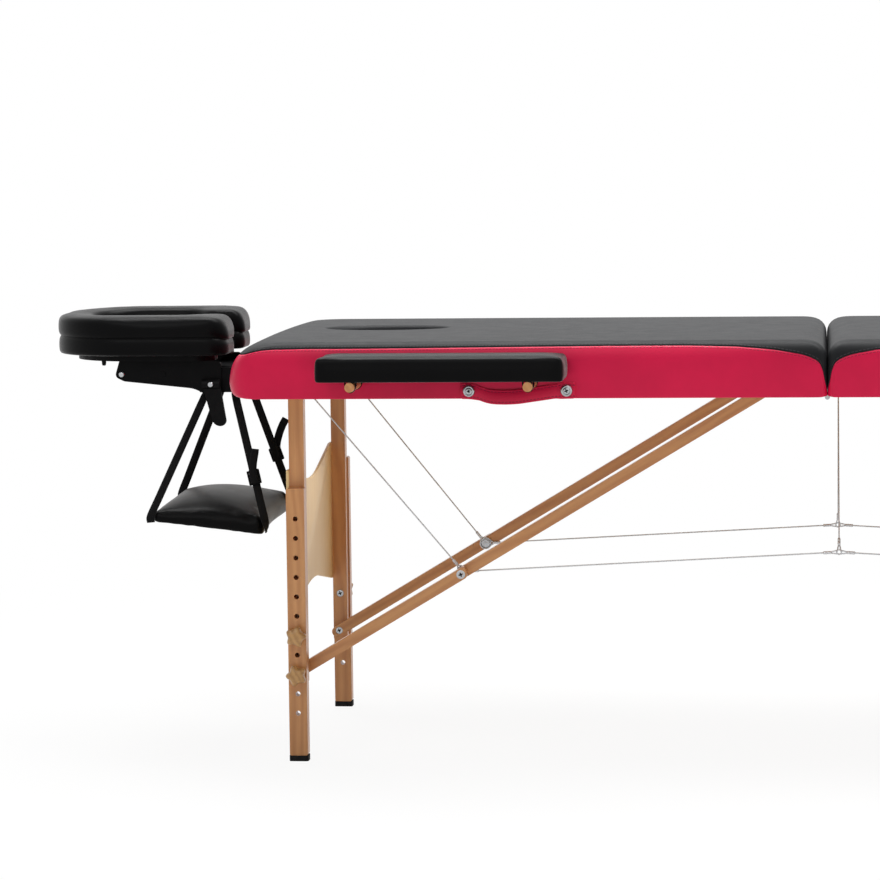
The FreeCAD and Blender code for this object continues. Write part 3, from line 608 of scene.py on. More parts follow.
@dataclass(frozen=True)
class Wood(Finish):
    """Clear lacquered wood with its grain along the piece."""

    dark: Colour = (0.3, 0.15, 0.06, 1)
    grain: Grain = Grain.ALONG
    fleck: float = 0.35
    slope: float = 30.97
    long_rail: float = 0.3175

    def direction(self, tree: Tree, place: Socket) -> Socket:
        """Turn the place on the piece so that the grain runs along X.

        Args:
            tree: The material's tree.
            place: The place on the piece.

        Returns:
            The turned place.
        """
        part = tree.add("SeparateXYZ", {0: place})
        x, y, z = (part.outputs[i] for i in range(3))
        if self.grain == Grain.ACROSS:
            return tree.add("CombineXYZ", {0: y, 1: x, 2: z}).outputs[0]
        if self.grain == Grain.UPRIGHT:
            return tree.add("CombineXYZ", {0: z, 1: y, 2: x}).outputs[0]
        if self.grain in (Grain.RISING, Grain.FALLING):
            turn = math.radians(self.slope) * (1 if self.grain == Grain.RISING else -1)
            return tree.add("Mapping", {"Vector": place, "Rotation": (0.0, turn, 0.0)}).outputs[0]
        if self.grain == Grain.RAILS:
            lengthwise = tree.maths("GREATER_THAN", tree.maths("ABSOLUTE", y), self.long_rail)
            crosswise = tree.add("CombineXYZ", {0: y, 1: x, 2: z}).outputs[0]
            return tree.mix(lengthwise, crosswise, place, "VECTOR")
        return place

    def material(self) -> bpy.types.Material:
        """Build the material.

        Returns:
            The material.
        """
        material, tree, shader, place = self.start()
        along = self.direction(tree, place)
        values = {"Vector": along, "Light": self.colour, "Dark": self.dark, "Fleck": self.fleck}
        grain = self.group(tree, Effect.GRAIN, values)
        marks = self.group(tree, Effect.HANDLING, {"Vector": place, "Scale": 24.0})
        dust = tree.maths("MULTIPLY", marks.outputs["Dust"], 0.25)
        tree.feed(shader, {
            "Base Color": tree.mix(dust, grain.outputs["Colour"], self.dark),
            "Roughness": tree.maths("MULTIPLY_ADD", grain.outputs["Gloss"], 0.2, self.roughness - 0.1),
            "Normal": self.relief(tree, grain.outputs["Height"], 0.08, 0.4),
            "Coat Weight": 0.18,
            "Coat Roughness": 0.22,
        })
        return material


@dataclass(frozen=True)
class Metal(Finish):
    """Plated or painted metal with handling marks."""

    metallic: float = 1.0
    tarnish: float = 0.3
    gloss: float = 0.5

    def material(self) -> bpy.types.Material:
        """Build the material.

        Returns:
            The material.
        """
        material, tree, shader, place = self.start()
        marks = self.group(tree, Effect.HANDLING, {"Vector": place, "Scale": 60.0})
        dull = shaded(self.colour, 1 - 0.45 * self.tarnish)
        tree.feed(shader, {
            "Base Color": tree.mix(marks.outputs["Scuff"], self.colour, dull),
            "Roughness": tree.maths("MULTIPLY_ADD", marks.outputs["Scuff"], 0.16, self.roughness - 0.06),
            "Normal": self.relief(tree, marks.outputs["Height"], 0.05, 0.25),
            "Metallic": self.metallic,
            "Specular IOR Level": self.gloss,
        })
        return material


@dataclass(frozen=True)
class Moulded(Finish):
    """Textured plastic or rubber with a little dust."""

    dust: Colour = (0.16, 0.155, 0.15, 1)
    dusty: float = 0.25
    depth: float = 0.1
    gloss: float = 0.07

    def material(self) -> bpy.types.Material:
        """Build the material.

        Returns:
            The material.
        """
        material, tree, shader, place = self.start()
        marks = self.group(tree, Effect.HANDLING, {"Vector": place, "Scale": 42.0})
        dust = tree.maths("MULTIPLY", marks.outputs["Dust"], self.dusty)
        tree.feed(shader, {
            "Base Color": tree.mix(dust, self.colour, self.dust),
            "Roughness": tree.maths("MULTIPLY_ADD", marks.outputs["Scuff"], 0.15, self.roughness - 0.05),
            "Normal": self.relief(tree, marks.outputs["Height"], self.depth, 0.5),
            "Specular IOR Level": self.gloss,
        })
        return material


@dataclass(frozen=True)
class Webbing(Finish):
    """Woven strap, its threads laid over the strap's own UV map, with a painted highlight on the thread
    crests and painted shade between them.
    """

    threads: float = 700.0

    def material(self) -> bpy.types.Material:
        """Build the material.

        Returns:
            The material.
        """
        material, tree, shader, place = self.start()
        uv = tree.add("UVMap", uv_map="threads").outputs[0]
        weave = self.group(tree, Effect.WEAVE, {"Vector": uv, "Threads": self.threads})
        marks = self.group(tree, Effect.HANDLING, {"Vector": place, "Scale": 42.0})
        tree.feed(shader, {
            # Painted highlight and painted shade: the colour is lighter where the weave is high and darker in
            # its hollows.
            "Base Color": tree.mix(weave.outputs["Height"], self.colour, shaded(self.colour, 1.6, 0.003)),
            "Roughness": tree.maths("MULTIPLY_ADD", marks.outputs["Scuff"], 0.1, self.roughness),
            "Normal": self.relief(tree, weave.outputs["Height"], 0.35, 0.8),
            "Sheen Weight": 0.06,
            "Specular IOR Level": 0.1,
        })
        return material


BEECH = srgb(216, 156, 98)
BEECH_DARK = srgb(194, 130, 78)
PINK = srgb(226, 18, 74)
PINK_THREAD = srgb(150, 14, 56)
PANEL_DARK = srgb(238, 196, 124)
FINISHES: Tuple[Finish, ...] = (
    Vinyl("black_top", srgb(28, 29, 31), 0.5, coat=0.0, gloss=0.12, stitched=True),
    Vinyl("pink_side", PINK, 0.36, coat=0.1, gloss=0.2, stitched=True, thread=PINK_THREAD),
    Vinyl("black_pad", srgb(5, 5, 6), 0.34, coat=0.0, gloss=0.06, sheen=0.2),
    Vinyl("pink_strap", srgb(226, 16, 70), 0.45, stitched=True, thread=PINK_THREAD),
    *(
        Wood("beech_" + grain.prefix, BEECH, 0.36, dark=BEECH_DARK, grain=grain)
        for grain in (Grain.ALONG, Grain.ACROSS, Grain.UPRIGHT, Grain.RISING, Grain.FALLING)
    ),
    Wood("beech_rails", srgb(206, 160, 116), 0.5, dark=BEECH_DARK, grain=Grain.RAILS),
    Wood("plywood_panel", srgb(250, 218, 156), 0.42, dark=PANEL_DARK, grain=Grain.UPRIGHT, fleck=0.15),
    Wood("plywood_deck", srgb(214, 182, 138), 0.6, dark=srgb(188, 148, 100), fleck=0.2),
    Wood("turned_knob", srgb(206, 160, 100), 0.36, dark=srgb(172, 124, 70), grain=Grain.ACROSS),
    Metal("plated", srgb(186, 188, 190), 0.28),
    Metal("rope_wire", srgb(214, 216, 218), 0.4, metallic=0.5, tarnish=0.25),
    # This black finish is real black paint on the cradle, and also painted shade in the recesses of
    # cross-head screws.
    Metal("black_paint", srgb(10, 10, 11), 0.42, metallic=0.0, gloss=0.06),
    Moulded("black_nylon", srgb(11, 11, 12), 0.42, dusty=0.08),
    Moulded("black_foot", srgb(26, 26, 27), 0.62, dusty=0.4, depth=0.2),
    Webbing("strap_black", srgb(12, 12, 13), 0.7),
)


class Palette:
    """All finishes of the table, each turned into a material once."""

    finishes: Dict[str, Finish] = {finish.name: finish for finish in FINISHES}
    made: Dict[str, bpy.types.Material] = {}

    @classmethod
    def get(cls, name: str) -> bpy.types.Material:
        """The material of a finish, built on first use.

        Args:
            name: The finish's name.

        Returns:
            The material.
        """
        if name not in cls.made:
            cls.made[name] = cls.finishes[name].material()
        return cls.made[name]


def ring_faces(first: int, rings: int, count: int) -> List[List[int]]:
    """Quads between neighbouring rings of points.

    Args:
        first: The number of the first ring's first point.
        rings: How many rings there are.
        count: Points in each ring.

    Returns:
        Point numbers of each quad, ring by ring.
    """
    faces = []
    for here in range(first, first + (rings - 1) * count, count):
        for j in range(count):
            k = (j + 1) % count
            faces.append([here + j, here + k, here + count + k, here + count + j])
    return faces


def loft(name: str, rings: Sequence[Sequence[Vector]]) -> Piece:
    """Skin a row of rings with equal numbers of points, and cap both ends.

    Args:
        name: The piece's name.
        rings: The rings in order, each in the frame, in metres.

    Returns:
        The closed piece.
    """
    count = len(rings[0])
    faces = ring_faces(0, len(rings), count)
    faces.append(list(range(count))[::-1])
    faces.append([(len(rings) - 1) * count + j for j in range(count)])
    return outward(add_object(name, [p for ring in rings for p in ring], faces))


def turned(
    name: str, centre: Vector, axis: Vector, profile: Sequence[Pair], count: int,
    reach: Optional[Callable[[float, float], float]] = None,
) -> Piece:
    """A turned piece.

    Args:
        name: The piece's name.
        centre: Where the profile's zero height lies.
        axis: The direction of its height.
        profile: (radius, height) pairs in millimetres, from the base to the tip.
        count: Points round the axis.
        reach: Changes a radius by (radius, angle), for lobes or flats.

    Returns:
        The closed piece.
    """
    along = axis.normalized()
    steep = abs(along.z) > 0.9
    first = (along.orthogonal() if steep else Vector((0, 0, 1)).cross(along)).normalized()
    second = along.cross(first)
    rings = []
    for radius, height in profile:
        ring = []
        for i in range(count):
            angle = 2 * math.pi * i / count
            size = (reach(radius, angle) if reach else radius) / 1000
            out = first * math.cos(angle) + second * math.sin(angle)
            ring.append(centre + along * (height / 1000) + out * size)
        rings.append(ring)
    return loft(name, rings)


def hexagon(radius: float, angle: float) -> float:
    """The edge of a hexagon round a circle of that radius."""
    turn = (angle + math.pi / 6) % (math.pi / 3) - math.pi / 6
    return radius / math.cos(turn)


def hex_nut(name: str, centre: Vector, axis: Vector, across: float, height: float, washer: float) -> Piece:
    """A hexagon nut on a washer, with the bolt's end showing.

    Args:
        name: The piece's name.
        centre: The face that the washer lies on.
        axis: The direction that the nut stands in.
        across: Half the nut's width across its flats, in millimetres.
        height: The nut's height with its washer.
        washer: The washer's radius.

    Returns:
        The piece.
    """
    lift = axis.normalized() / 1000
    plate_rings = [(washer, 0.0), (washer, 1.0), (washer - 0.4, 1.3), (across, 1.3)]
    nut_rings = [
        (across - 0.3, 0.0), (across, 0.4), (across, height - 1.9), (across - 0.5, height - 1.3),
        (3.6, height - 1.3),
    ]
    tip_rings = [(3.1, 0.0), (3.1, 0.9), (2.5, 1.4)]
    plate = turned(name, centre, axis, plate_rings, 36)
    nut = turned(name + "_nut", centre + lift * 1.25, axis, nut_rings, 36, hexagon)
    tip = turned(name + "_tip", centre + lift * (height - 0.3), axis, tip_rings, 20)
    return joined(plate, nut, tip)


def joined(first: Piece, *others: Piece) -> Piece:
    """Put several meshes into the first one, keeping materials and UV maps.

    Args:
        first: The piece that is kept.
        others: The rest.

    Returns:
        The first piece, with all of them in it.
    """
    pieces = [first, *others]
    for obj in pieces:
        if obj.modifiers:
            settle(obj)
    with bpy.context.temp_override(active_object=first, object=first, selected_editable_objects=pieces):
        bpy.ops.object.join()
    return first


def cross_screw(
    name: str, centre: Vector, axis: Vector, profile: Sequence[Pair], slot: float, depth: float
) -> Piece:
    """A round screw head with a cross recess.

    Args:
        name: The piece's name.
        centre: Where the profile's zero height lies.
        axis: The direction that the head faces.
        profile: (radius, height) pairs in millimetres, ending at the rim of the recessed face.
        slot: Half the length of the recess.
        depth: How deep the recess is.

    Returns:
        The piece.
    """
    along = axis.normalized()
    first = Vector((0, 0, 1)).cross(along).normalized()
    second = along.cross(first)
    count = 36
    width = slot * 0.3
    arm = [(slot, width), (width, width), (width, slot)]
    quarters = ((1, 0), (0, 1), (-1, 0), (0, -1))
    straight = [(p * c - q * s, p * s + q * c) for c, s in quarters for p, q in arm]
    cos, sin = math.cos(math.radians(20)), math.sin(math.radians(20))
    cross = [(p * cos - q * sin, p * sin + q * cos) for p, q in straight]
    tips = len(cross)

    def spot(p: float, q: float, height: float) -> Vector:
        """A place on the head, in the frame."""
        return centre + (first * p + second * q + along * height) / 1000

    def circle(radius: float) -> List[Pair]:
        """Places round the head at a radius."""
        turns = [2 * math.pi * i / count for i in range(count)]
        return [(radius * math.cos(turn), radius * math.sin(turn)) for turn in turns]

    rim, face = profile[-1]
    points = [Vector(p) for p in circle(rim) + cross]
    loops = [(i, (i + 1) % count) for i in range(count)]
    loops += [(count + i, count + (i + 1) % tips) for i in range(tips)]
    flat = geometry.delaunay_2d_cdt(points, loops, [], 0, 1e-5)
    inside = [f for f in flat[2] if not in_polygon(sum((flat[0][i] for i in f), Vector((0, 0))) / 3, cross)]
    vertices = [spot(p, q, height) for radius, height in profile for p, q in circle(radius)]
    faces = [list(range(count))[::-1]] + ring_faces(0, len(profile), count)
    top = (len(profile) - 1) * count
    lip = len(vertices)
    vertices += [spot(p, q, face) for p, q in cross]
    vertices += [spot(p * 0.75, q * 0.75, face - depth) for p, q in cross]
    place = [top + origin[0] if origin[0] < count else lip + origin[0] - count for origin in flat[3]]
    faces += [[place[i] for i in f] for f in inside]
    faces += ring_faces(lip, 2, tips)
    faces.append([lip + tips + i for i in range(tips)])
    screw = outward(add_object(name, vertices, faces))
    # The recess's walls and floor take the black finish: painted shade in the hollow of a plated screw.
    paint(screw, Palette.get("plated"), Palette.get("black_paint"))
    for polygon in list(screw.data.polygons)[-tips - 1:]:
        polygon.material_index = 1
    return soften(screw, 32)


def in_polygon(point: Vector, polygon: Sequence[Pair]) -> bool:
    """Whether a point lies inside a closed outline.

    Args:
        point: The point.
        polygon: The outline's corners.

    Returns:
        True if it does.
    """
    inside = False
    for (ax, ay), (bx, by) in zip(polygon, list(polygon[1:]) + [polygon[0]]):
        if (ay > point[1]) != (by > point[1]) and point[0] < (bx - ax) * (point[1] - ay) / (by - ay) + ax:
            inside = not inside
    return inside


def swell(
    obj: Piece, held: Callable[[Vector], float], cap: float, pressure: float = 3.0, steps: int = 20
) -> Piece:
    """Blow a padded piece up a little with a cloth simulation.

    Args:
        obj: The piece, in place.
        held: How firmly a point of it stays put, from 0 to 1.
        cap: The furthest that a point may move, in millimetres.
        pressure: The cloth's inner pressure.
        steps: Frames to simulate.

    Returns:
        The same piece with its new shape.
    """
    group = obj.vertex_groups.new(name="held")
    for vertex in obj.data.vertices:
        group.add([vertex.index], held(vertex.co), "REPLACE")
    cloth = obj.modifiers.new("cloth", "CLOTH")
    cloth.settings.vertex_group_mass = "held"
    cloth.settings.use_pressure = True
    cloth.settings.uniform_pressure_force = pressure
    cloth.settings.effector_weights.gravity = 0
    cloth.settings.quality = 5
    cloth.point_cache.frame_start = 1
    cloth.point_cache.frame_end = steps + 1
    scene = bpy.context.scene
    for step in range(1, steps + 1):
        scene.frame_set(step)
    moved = obj.evaluated_get(bpy.context.evaluated_depsgraph_get())
    shifts = [moved.data.vertices[v.index].co - v.co for v in obj.data.vertices]
    obj.modifiers.clear()
    obj.vertex_groups.clear()
    scene.frame_set(1)
    for vertex, shift in zip(obj.data.vertices, shifts):
        if shift.length > cap / 1000:
            shift = shift.normalized() * (cap / 1000)
        vertex.co += shift
    obj.data.update()
    return obj


def subdivided(obj: Piece) -> Piece:
    """Smooth a piece by one subdivision.

    Args:
        obj: The piece.

    Returns:
        The same piece.
    """
    modifier = obj.modifiers.new("smooth", "SUBSURF")
    modifier.levels = 1
    modifier.render_levels = 1
    return settle(obj)


def wear(obj: Piece, finish: str) -> Piece:
    """Give a piece a finish of the palette.

    Args:
        obj: The piece.
        finish: The finish's name.

    Returns:
        The same piece.
    """
    paint(obj, Palette.get(finish))
    return obj


def dress(finish: str, *names: str) -> None:
    """Give CAD nodes that keep their shape a finish.

    Args:
        finish: The finish's name.
        names: The nodes.
    """
    for name in names:
        for slot in frame["nodes"][name].material_slots:
            slot.link = "OBJECT"
            slot.material = Palette.get(finish)
        LOG.info("dressed %s", name)


def spanned(loops: Sequence[Sequence[int]], points: Sequence[Point], first: int) -> List[List[int]]:
    """Triangles across a level face.

    Args:
        loops: Point numbers of its edge and, second, of a hole in it.
        points: All points of the piece.
        first: The first of the points that lie on the face inside its edge.

    Returns:
        Point numbers of each triangle.
    """
    names = [i for loop in loops for i in loop] + list(range(first, len(points)))
    edges = []
    start = 0
    for loop in loops:
        edges += [(start + i, start + (i + 1) % len(loop)) for i in range(len(loop))]
        start += len(loop)
    result = geometry.delaunay_2d_cdt([Vector(points[i][:2]) for i in names], edges, [], 0, 1e-6)
    outline = [tuple(points[i][:2]) for i in loops[0]]
    hole = [tuple(points[i][:2]) for i in loops[1]] if len(loops) > 1 else []
    faces = []
    for face in result[2]:
        centre = sum((result[0][i] for i in face), Vector((0, 0))) / 3
        if in_polygon(centre, outline) and not (hole and in_polygon(centre, hole)):
            faces.append([names[result[3][i][0]] for i in face])
    return faces


@dataclass(frozen=True)
class Station:
    """A place on the outline of an upholstered half: distance from the fold, side, and outward direction."""

    a: float
    y: float
    out_a: float
    out_y: float
    along: float
    inner_a: float
    inner_y: float

    def inset(self, share: float, bulge: float = 0.0) -> Pair:
        """The place moved a share of the way to the edge of the flat top, and out by a bulge.

        Args:
            share: The share, from 0 to 1.
            bulge: How far out, in millimetres.

        Returns:
            Its distance from the fold and its side.
        """
        a = self.a + (self.inner_a - self.a) * share + self.out_a * bulge
        y = self.y + (self.inner_y - self.y) * share + self.out_y * bulge
        return a, y

    @property
    def shares(self) -> Tuple[float, float, float]:
        """How much the place belongs to the long side, the end and the fold."""
        return self.out_y ** 2, max(0.0, self.out_a) ** 2, max(0.0, -self.out_a) ** 2


@dataclass
class Upholstery:
    """Padded vinyl cover of one half: coloured sides, black top, a sunk stitched seam between them."""

    half: Half
    length: float = 930.0
    half_width: float = 340.0
    gap: float = 0.1
    under: float = 583.0
    top: float = 673.0
    crown: float = 4.0
    end_corner: float = 45.0
    fold_corner: float = 12.0
    flange: float = 14.0
    rounds: Tuple[Pair, ...] = ((24.0, 24.0), (63.0, 55.0), (32.0, 23.0))
    hems: Tuple[float, ...] = (1.5, 14.0, 1.0)
    bulges: Tuple[float, ...] = (0.8, 2.0, 0.1)
    seam_end: float = 650.0
    seam_fold: float = 592.0
    seam_side: Tuple[Pair, ...] = (
        (3, 618), (6, 631), (15, 640), (32, 647), (77, 655.5), (132, 660.5), (208, 662.5), (330, 662.5),
        (500, 661.5), (640, 660.5), (756, 660), (818, 660), (880, 659), (911, 652),
    )
    seam_depths: Tuple[float, ...] = (1.3, 1.3, 0.15)
    hole_at: float = 718.0
    hole_long: float = 97.7
    hole_wide: float = 58.2
    hole_rim: float = 9.0
    hole_foot: float = 627.5
    grid: float = 14.0
    cap: float = 2.2
    girth: float = 0.0
    across_steps: int = 44
    side_steps: int = 66
    fold_bend: int = 6
    end_bend: int = 10
    hole_steps: int = 56
    hole_hold: float = 4.0
    hem_lifts: Tuple[float, ...] = (-1.4, -0.8, 0.4)
    fold_flange: float = 1.6
    seam_shoulder: float = 2.6
    seam_lip: float = 0.9
    seam_reach: float = 1.8
    free_share: float = 0.85
    free_from: float = 632.0
    free_over: float = 30.0
    fold_over: float = 20.0
    off_seam: Pair = (0.0, 0.3)

    def lap(self, fold: float, end: float, side: float, small: float, large: float) -> List[Edge]:
        """Places and outward directions round a rounded rectangle, evenly spread over its runs and corners.

        Args:
            fold: Its edge by the fold.
            end: Its edge at the table's end.
            side: Half its width.
            small: The corner radius by the fold.
            large: The corner radius at the end.

        Returns:
            Rows of (distance from the fold, side, outward directions), the same number for every size.
        """
        spots: List[Edge] = []

        def run(start: Pair, stop: Pair, out: Pair, count: int) -> None:
            """Places along a straight edge."""
            for i in range(count):
                place = [here + (there - here) * (i / count) for here, there in zip(start, stop)]
                spots.append((*place, *out))

        def bend(a: float, y: float, radius: float, first: float, count: int) -> None:
            """Places round a corner."""
            for i in range(count):
                angle = math.radians(first - 90 * i / count)
                out = (math.cos(angle), math.sin(angle))
                spots.append((a + radius * out[0], y + radius * out[1], *out))

        run((fold, small - side), (fold, side - small), (-1, 0), self.across_steps)
        bend(fold + small, side - small, small, 180, self.fold_bend)
        run((fold + small, side), (end - large, side), (0, 1), self.side_steps)
        bend(end - large, side - large, large, 90, self.end_bend)
        run((end, side - large), (end, large - side), (1, 0), self.across_steps)
        bend(end - large, large - side, large, 0, self.end_bend)
        run((end - large, -side), (fold + small, -side), (0, -1), self.side_steps)
        bend(fold + small, small - side, small, -90, self.fold_bend)
        return spots

    def outline(self) -> List[Station]:
        """The places where the cover's section is worked out.

        Returns:
            The places, in order round the cover.
        """
        side, end, fold = (r[0] for r in self.rounds)
        corners = (self.fold_corner, self.end_corner)
        outer = self.lap(self.gap, self.length, self.half_width, *corners)
        inner = self.lap(self.gap + fold, self.length - end, self.half_width - side, *corners)
        stations = []
        along = 0.0
        for i, (spot, flat) in enumerate(zip(outer, inner)):
            stations.append(Station(*spot, along, flat[0], flat[1]))
            onward = outer[(i + 1) % len(outer)]
            along += math.hypot(onward[0] - spot[0], onward[1] - spot[1])
        self.girth = along
        return stations

    def mixed(self, station: Station, values: Sequence[float]) -> float:
        """A size that differs on side, end and fold, at one place."""
        return sum(share * value for share, value in zip(station.shares, values))

    def height(self, y: float) -> float:
        """The crowned top's height."""
        return self.top - self.crown * (y / self.half_width) ** 2

    def seam_height(self, station: Station) -> float:
        """The seam's height at one place."""
        on_side = float(np.interp(station.a, *zip(*self.seam_side)))
        return self.mixed(station, (on_side, self.seam_end, self.seam_fold))

    def section(self, station: Station) -> Tuple[np.ndarray, np.ndarray, float, float]:
        """The cover's profile at one place.

        Args:
            station: The place.

        Returns:
            Rows of (inset, height), their running length, and the lengths of the seam and the hem.
        """
        across, tall = (self.mixed(station, [r[i] for r in self.rounds]) for i in (0, 1))
        hem = self.mixed(station, self.hems)
        bulge = self.mixed(station, self.bulges)
        base = self.mixed(station, [self.under + lift for lift in self.hem_lifts])
        edge = self.height(station.inner_y)
        wall = edge - tall
        rows = []
        for i in range(9):
            angle = math.radians(90 * i / 8)
            rows.append((hem * (1 - math.sin(angle)), base + hem * (1 - math.cos(angle))))
        for i in range(1, 12):
            share = i / 12
            rows.append((-bulge * math.sin(math.pi * share), base + hem + (wall - base - hem) * share))
        for i in range(25):
            angle = math.radians(90 * i / 24)
            rows.append((across * (1 - math.cos(angle)), wall + tall * math.sin(angle)))
        curve = np.array(rows)
        steps = np.hypot(*np.diff(curve, axis=0).T)
        length = np.concatenate([[0.0], np.cumsum(steps)])
        seam = float(np.interp(min(self.seam_height(station), edge - 0.6), curve[:, 1], length))
        return curve, length, min(seam, length[-1] - 7), length[8]

    def rings(self, stations: Sequence[Station]) -> Tuple[List[List[Point]], List[List[float]], int]:
        """Points of the sides from the hem's inner edge to the top.

        Args:
            stations: The places round the outline.

        Returns:
            Points (a, y, z) by ring and place, their distances from the seam, and the seam's ring.
        """
        below, above = 10, 8
        points: List[List[Point]] = []
        offsets: List[List[float]] = []
        for station in stations:
            curve, length, seam, hem = self.section(station)
            stops = list(np.linspace(0, hem, 4))
            stops += list(np.linspace(hem, seam - self.seam_shoulder, below - 3))[1:]
            stops += [seam - self.seam_lip, seam, seam + self.seam_lip]
            stops += list(np.linspace(seam + self.seam_shoulder, length[-1], above))
            column = []
            flange = self.mixed(station, (self.flange, self.flange, self.fold_flange))
            deep = self.mixed(station, self.seam_depths)
            across = self.mixed(station, [r[0] for r in self.rounds])
            column.append((*station.inset(flange / across), curve[0, 1]))
            for stop in stops:
                inset = float(np.interp(stop, length, curve[:, 0]))
                level = float(np.interp(stop, length, curve[:, 1]))
                before = np.array([np.interp(stop - 0.5, length, curve[:, i]) for i in (0, 1)])
                after = np.array([np.interp(stop + 0.5, length, curve[:, i]) for i in (0, 1)])
                tangent = (after - before) / max(1e-6, float(np.hypot(*(after - before))))
                sink = deep * max(0.0, 1 - abs(stop - seam) / self.seam_reach)
                inset += sink * tangent[1]
                level -= sink * tangent[0]
                column.append((*station.inset(max(0.0, inset) / across, max(0.0, -inset)), level))
            points.append(column)
            offsets.append([-seam] + [stop - seam for stop in stops])
        return [list(ring) for ring in zip(*points)], [list(row) for row in zip(*offsets)], below + 2

    def face_hole(self) -> List[List[Point]]:
        """Rings of the face hole's lining, from its rim on the top to its foot.

        Returns:
            Points (a, y, z) by ring.
        """
        turns = [math.radians(degrees) for degrees in (0, 22, 45, 68, 90)]
        steps = [(self.hole_rim * (1 - math.sin(t)), self.hole_rim * (1 - math.cos(t))) for t in turns]
        rings = []
        for out, drop in steps + [(0.0, 20.0), (-0.6, 33.0), (0.0, None)]:
            ring = []
            for i in range(self.hole_steps):
                angle = 2 * math.pi * i / self.hole_steps
                a = self.hole_at + (self.hole_long + out) * math.cos(angle)
                y = (self.hole_wide + out) * math.sin(angle)
                ring.append((a, y, self.hole_foot if drop is None else self.height(y) - drop))
            rings.append(ring)
        return rings

    def build(self) -> Piece:
        """Build the cover, swell it and dress it.

        Returns:
            The cover.
        """
        stations = self.outline()
        rings, offsets, seam_ring = self.rings(stations)
        count = len(stations)
        points = [p for ring in rings for p in ring]
        uv = [(spot.along / 1000, offset / 1000) for row in offsets for spot, offset in zip(stations, row)]
        faces = ring_faces(0, len(rings), count)
        slots = [1 if i < seam_ring else 0 for i in range(len(rings) - 1) for _ in range(count)]
        rim_start = (len(rings) - 1) * count
        loops = [list(range(rim_start, rim_start + count))]
        if self.half == Half.HEAD:
            lining = self.face_hole()
            start = len(points)
            size = len(lining[0])
            points += [p for ring in lining for p in ring]
            uv += [self.off_seam] * (size * len(lining))
            faces += ring_faces(start, len(lining), size)
            loops.append(list(range(start, start + size)))
        first = len(points)
        inner = self.top_points(loops, points)
        points += inner
        uv += [self.off_seam] * len(inner)
        faces += spanned(loops, points, first)
        slots += [0] * (len(faces) - len(slots))
        sign = self.half.value
        obj = add_object(self.half.prefix + "_upholstery", [at(sign * a, y, z) for a, y, z in points], faces)
        paint(outward(obj), Palette.get("black_top"), Palette.get("pink_side"))
        layer = obj.data.uv_layers.new(name="seam")
        for polygon in obj.data.polygons:
            polygon.material_index = slots[polygon.index]
            places = [uv[v][0] for v in polygon.vertices]
            wraps = max(places) - min(places) > 1.5
            for loop, v in zip(polygon.loop_indices, polygon.vertices):
                across = uv[v][0] + (self.girth / 1000 if wraps and uv[v][0] < 0.5 else 0)
                layer.data[loop].uv = (across, uv[v][1])
        swell(obj, self.held, self.cap)
        subdivided(obj)
        soften(obj, 70)
        prefix = self.half.prefix
        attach(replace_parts(obj, prefix + "_cushion", prefix + "_skirt"), prefix + "_top")
        return obj

    def held(self, point: Vector) -> float:
        """The walls stay on the rails; only the top and its rounding are free.

        Args:
            point: A point of the cover, in metres.

        Returns:
            How firmly the point stays put, from 0 to 1.
        """
        z = point.z * 1000
        x = abs(point.x * 1000 - ORIGIN_SHIFT)
        if self.half == Half.HEAD:
            wide, deep = self.hole_long + self.hole_hold, self.hole_wide + self.hole_hold
            oval = ((x - self.hole_at) / wide) ** 2 + (point.y * 1000 / deep) ** 2
            if oval < 1:
                return 1.0
        return 1 - self.free_share * ease((z - self.free_from) / self.free_over) * ease(x / self.fold_over)

    def top_points(self, loops: Sequence[Sequence[int]], points: Sequence[Point]) -> List[Point]:
        """Staggered points over the top, clear of its edge and of the face hole.

        Args:
            loops: Point numbers of the edge and of the hole.
            points: All points so far.

        Returns:
            Points (a, y, z).
        """
        edge = np.array([points[i][:2] for i in loops[0]])
        low, high = edge.min(axis=0), edge.max(axis=0)
        outline = [tuple(p) for p in edge]
        found = []
        row = 0
        a = low[0] + self.grid * 0.7
        while a < high[0] - self.grid * 0.5:
            y = low[1] + self.grid * (0.5 if row % 2 else 1.0)
            while y < high[1] - self.grid * 0.4:
                near = float(np.hypot(edge[:, 0] - a, edge[:, 1] - y).min()) > self.grid * 0.62
                if near and in_polygon(Vector((a, y)), outline) and self.clear_of_hole(a, y):
                    found.append((a, y, self.height(y)))
                y += self.grid
            a += self.grid * 0.866
            row += 1
        return found

    def clear_of_hole(self, a: float, y: float) -> bool:
        """Whether a point keeps away from the face hole's rim.

        Args:
            a: Its distance from the fold.
            y: Its side.

        Returns:
            True if it does.
        """
        if self.half == Half.FOOT:
            return True
        wide = self.hole_rim + self.grid * 0.6
        return ((a - self.hole_at) / (self.hole_long + wide)) ** 2 + (y / (self.hole_wide + wide)) ** 2 > 1


